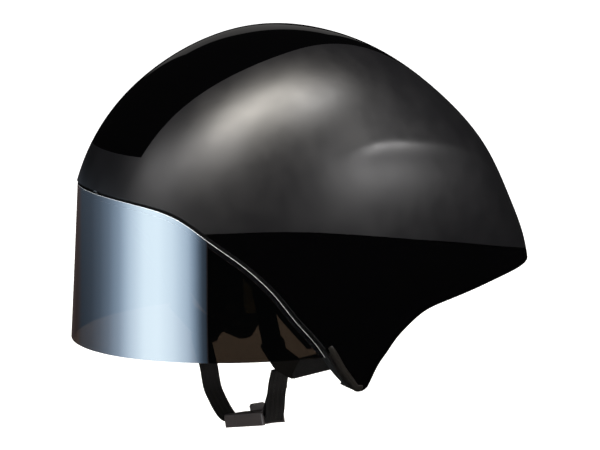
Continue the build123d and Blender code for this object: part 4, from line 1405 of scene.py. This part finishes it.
def straight_view(made, path):
    """1 for what the camera sees straight on or through the lens, and 0 for what it sees mirrored."""
    seen = made.math("MAXIMUM", path.outputs["Is Camera Ray"], path.outputs["Is Transmission Ray"])
    return made.math("MULTIPLY", seen, made.math("LESS_THAN", path.outputs["Glossy Depth"], 0.5))


def pale_floor_material(reflected):
    """A pale floor that the camera sees as white, with the object's shadow, and reflections see dimmer."""
    made = Finish("pale_floor", Roughness=0.9, Specular_IOR_Level=0.0, Emission_Color=(1, 1, 1, 1))
    path = made.node("ShaderNodeLightPath")
    mirrored = path.outputs["Is Glossy Ray"]
    made.set("Base Color", made.mix(mirrored, (0.86, 0.86, 0.86, 1), (0.001, 0.001, 0.001, 1)))
    reach = made.node("ShaderNodeVectorMath", {"operation": "LENGTH"}, Vector=made.places()).outputs["Value"]
    far = made.spread(reach, 0.7, 1.6, 0.6, 1.0)
    seen = made.math("MULTIPLY", straight_view(made, path), far)
    made.set("Emission Strength", made.math("MAXIMUM", seen, made.math("MULTIPLY", mirrored, reflected)))
    return made.material


def add_world(fill, reflected):
    """White behind the object, dimmer in reflections, and a soft light from all around."""
    world = bpy.data.worlds.new("studio")
    bpy.context.scene.world = world
    world.use_nodes = True
    made = Nodes(world.node_tree)
    path = made.node("ShaderNodeLightPath")
    dimmed = made.mix(path.outputs["Is Glossy Ray"], fill, reflected, "FLOAT")
    strength = made.mix(straight_view(made, path), dimmed, 1.0, "FLOAT")
    background = made.tree.nodes["Background"]
    made.feed(background.inputs["Color"], (1, 1, 1, 1))
    made.feed(background.inputs["Strength"], strength)


MIRROR_AZIMUTHS = (-95, -72, -66, -52, -40, -28, -18, -8, 2, 12, 21, 30, 39, 43.5, 47, 50, 51)
MIRROR_GLOWS = (0.10, 0.09, 0.12, 0.22, 0.32, 0.6, 1.1, 2.1, 4.1, 5.7, 5.9, 5.1, 3.4, 1.7, 0.45, 0.25, 0.0)
MIRROR_DISTANCE = 0.5
MIRROR_HALF_HEIGHT = 0.11
MIRROR_TOP_AZIMUTH = -20.0
MIRROR_TOP_Z = -0.101
MIRROR_SAG = 0.00002
MIRROR_LEANS = (142.0, -1.05, 0.006)


def mirror_columns(azimuths):
    """Ends of the panel's columns, which lean so that the curved visor shows them upright."""
    middle_z = MIRROR_TOP_Z - MIRROR_SAG * (azimuths - MIRROR_TOP_AZIMUTH) ** 2
    lean = MIRROR_LEANS[0] + MIRROR_LEANS[1] * azimuths + MIRROR_LEANS[2] * azimuths ** 2
    points = []
    for azimuth, height, slant in zip(azimuths, middle_z, lean):
        for step in (-MIRROR_HALF_HEIGHT, 0, MIRROR_HALF_HEIGHT):
            out = view_axes(azimuth - slant * step, 0)[2] * MIRROR_DISTANCE
            points.append((out.x, out.y, height + step))
    return points


def add_mirror_panel():
    """An upright curved softbox that only reflections see, with a brightness for each azimuth."""
    azimuths = np.linspace(MIRROR_AZIMUTHS[0], MIRROR_AZIMUTHS[-1], 90)
    points = mirror_columns(azimuths)
    mesh = bpy.data.meshes.new("visor_panel")
    mesh.from_pydata(points, [], grid_faces(len(azimuths), 3))
    mesh.shade_smooth()
    panel = add_object("visor_panel", mesh)
    point_attribute(panel, "glow", np.interp(np.repeat(azimuths, 3), MIRROR_AZIMUTHS, MIRROR_GLOWS))
    made = Finish("visor_panel")
    made.tree.nodes.remove(made.shader)
    glow = made.node("ShaderNodeAttribute", {"attribute_name": "glow"}).outputs["Fac"]
    tone = made.node("ShaderNodeValToRGB", Fac=made.math("DIVIDE", glow, max(MIRROR_GLOWS)))
    low, high = tone.color_ramp.elements
    low.position, low.color = 0.03, (0.62, 0.78, 1.0, 1)
    high.position, high.color = 1.0, (0.90, 0.94, 0.95, 1)
    tone.color_ramp.elements.new(0.018).color = (1.0, 0.72, 0.68, 1)
    lamp = made.node("ShaderNodeEmission", Color=tone.outputs["Color"], Strength=glow)
    made.join((lamp, "Emission", made.tree.nodes["Material Output"], "Surface"))
    mesh.materials.append(made.material)
    panel.visible_camera = panel.visible_diffuse = panel.visible_transmission = panel.visible_shadow = False


class HELMET_OT_stage(bpy.types.Operator):
    """Sets the camera, the floor, the lamps and the studio round the helmet"""
    bl_idname = "helmet.stage"
    bl_label = "Stage"

    def execute(self, context):
        settings = context.scene.helmet_stage
        context.scene.view_settings.view_transform = "Standard"
        add_camera()
        signs = ((-1, -1), (1, -1), (1, 1), (-1, 1))
        corners = [(x * FLOOR_HALF, y * FLOOR_HALF, settings.floor_z) for x, y in signs]
        mesh = bpy.data.meshes.new("pale_floor")
        mesh.from_pydata(corners, [], [(0, 1, 2, 3)])
        floor = add_object("pale_floor", mesh)
        mesh.materials.append(pale_floor_material(settings.reflected))
        add_world(settings.fill, settings.reflected)
        for softbox in SOFTBOXES:
            add_softbox(*softbox)
        add_mirror_panel()
        return {"FINISHED"}


class HELMET_PT_pieces(bpy.types.Panel):
    """Lists the helmet's settings and the operators that build it"""
    bl_label = "Helmet"
    bl_idname = "HELMET_PT_pieces"
    bl_space_type = "VIEW_3D"
    bl_region_type = "UI"
    bl_category = "Helmet"

    def draw(self, context):
        for name, settings in SETTINGS.items():
            box = self.layout.box()
            for field in settings.__annotations__:
                box.prop(getattr(context.scene, name), field)
        for operator in OPERATORS:
            self.layout.operator(operator.bl_idname)


SETTINGS = {
    "helmet_shell": HelmetShellSettings,
    "helmet_visor": HelmetVisorSettings,
    "helmet_straps": HelmetStrapSettings,
    "helmet_pads": HelmetPadSettings,
    "helmet_stage": HelmetStageSettings,
}
OPERATORS = (
    HELMET_OT_stage, HELMET_OT_upper_shell, HELMET_OT_fairings, HELMET_OT_edge_trims, HELMET_OT_visor,
    HELMET_OT_straps, HELMET_OT_buckle, HELMET_OT_pads, HELMET_OT_inside, HELMET_OT_fit_system,
)


def register():
    for settings in SETTINGS.values():
        bpy.utils.register_class(settings)
    for name, settings in SETTINGS.items():
        setattr(bpy.types.Scene, name, bpy.props.PointerProperty(type=settings))
    for part in (*OPERATORS, HELMET_PT_pieces):
        bpy.utils.register_class(part)


def unregister():
    for part in (HELMET_PT_pieces, *reversed(OPERATORS)):
        bpy.utils.unregister_class(part)
    for name in SETTINGS:
        delattr(bpy.types.Scene, name)
    for settings in reversed(SETTINGS.values()):
        bpy.utils.unregister_class(settings)


def main():
    register()
    bpy.ops.helmet.stage()
    bpy.ops.helmet.upper_shell()
    bpy.ops.helmet.fairings()
    bpy.ops.helmet.edge_trims()
    bpy.ops.helmet.visor()
    bpy.ops.helmet.straps()
    bpy.ops.helmet.buckle()
    bpy.ops.helmet.pads()
    bpy.ops.helmet.inside()
    bpy.ops.helmet.fit_system()


if __name__ == "__main__":
    main()
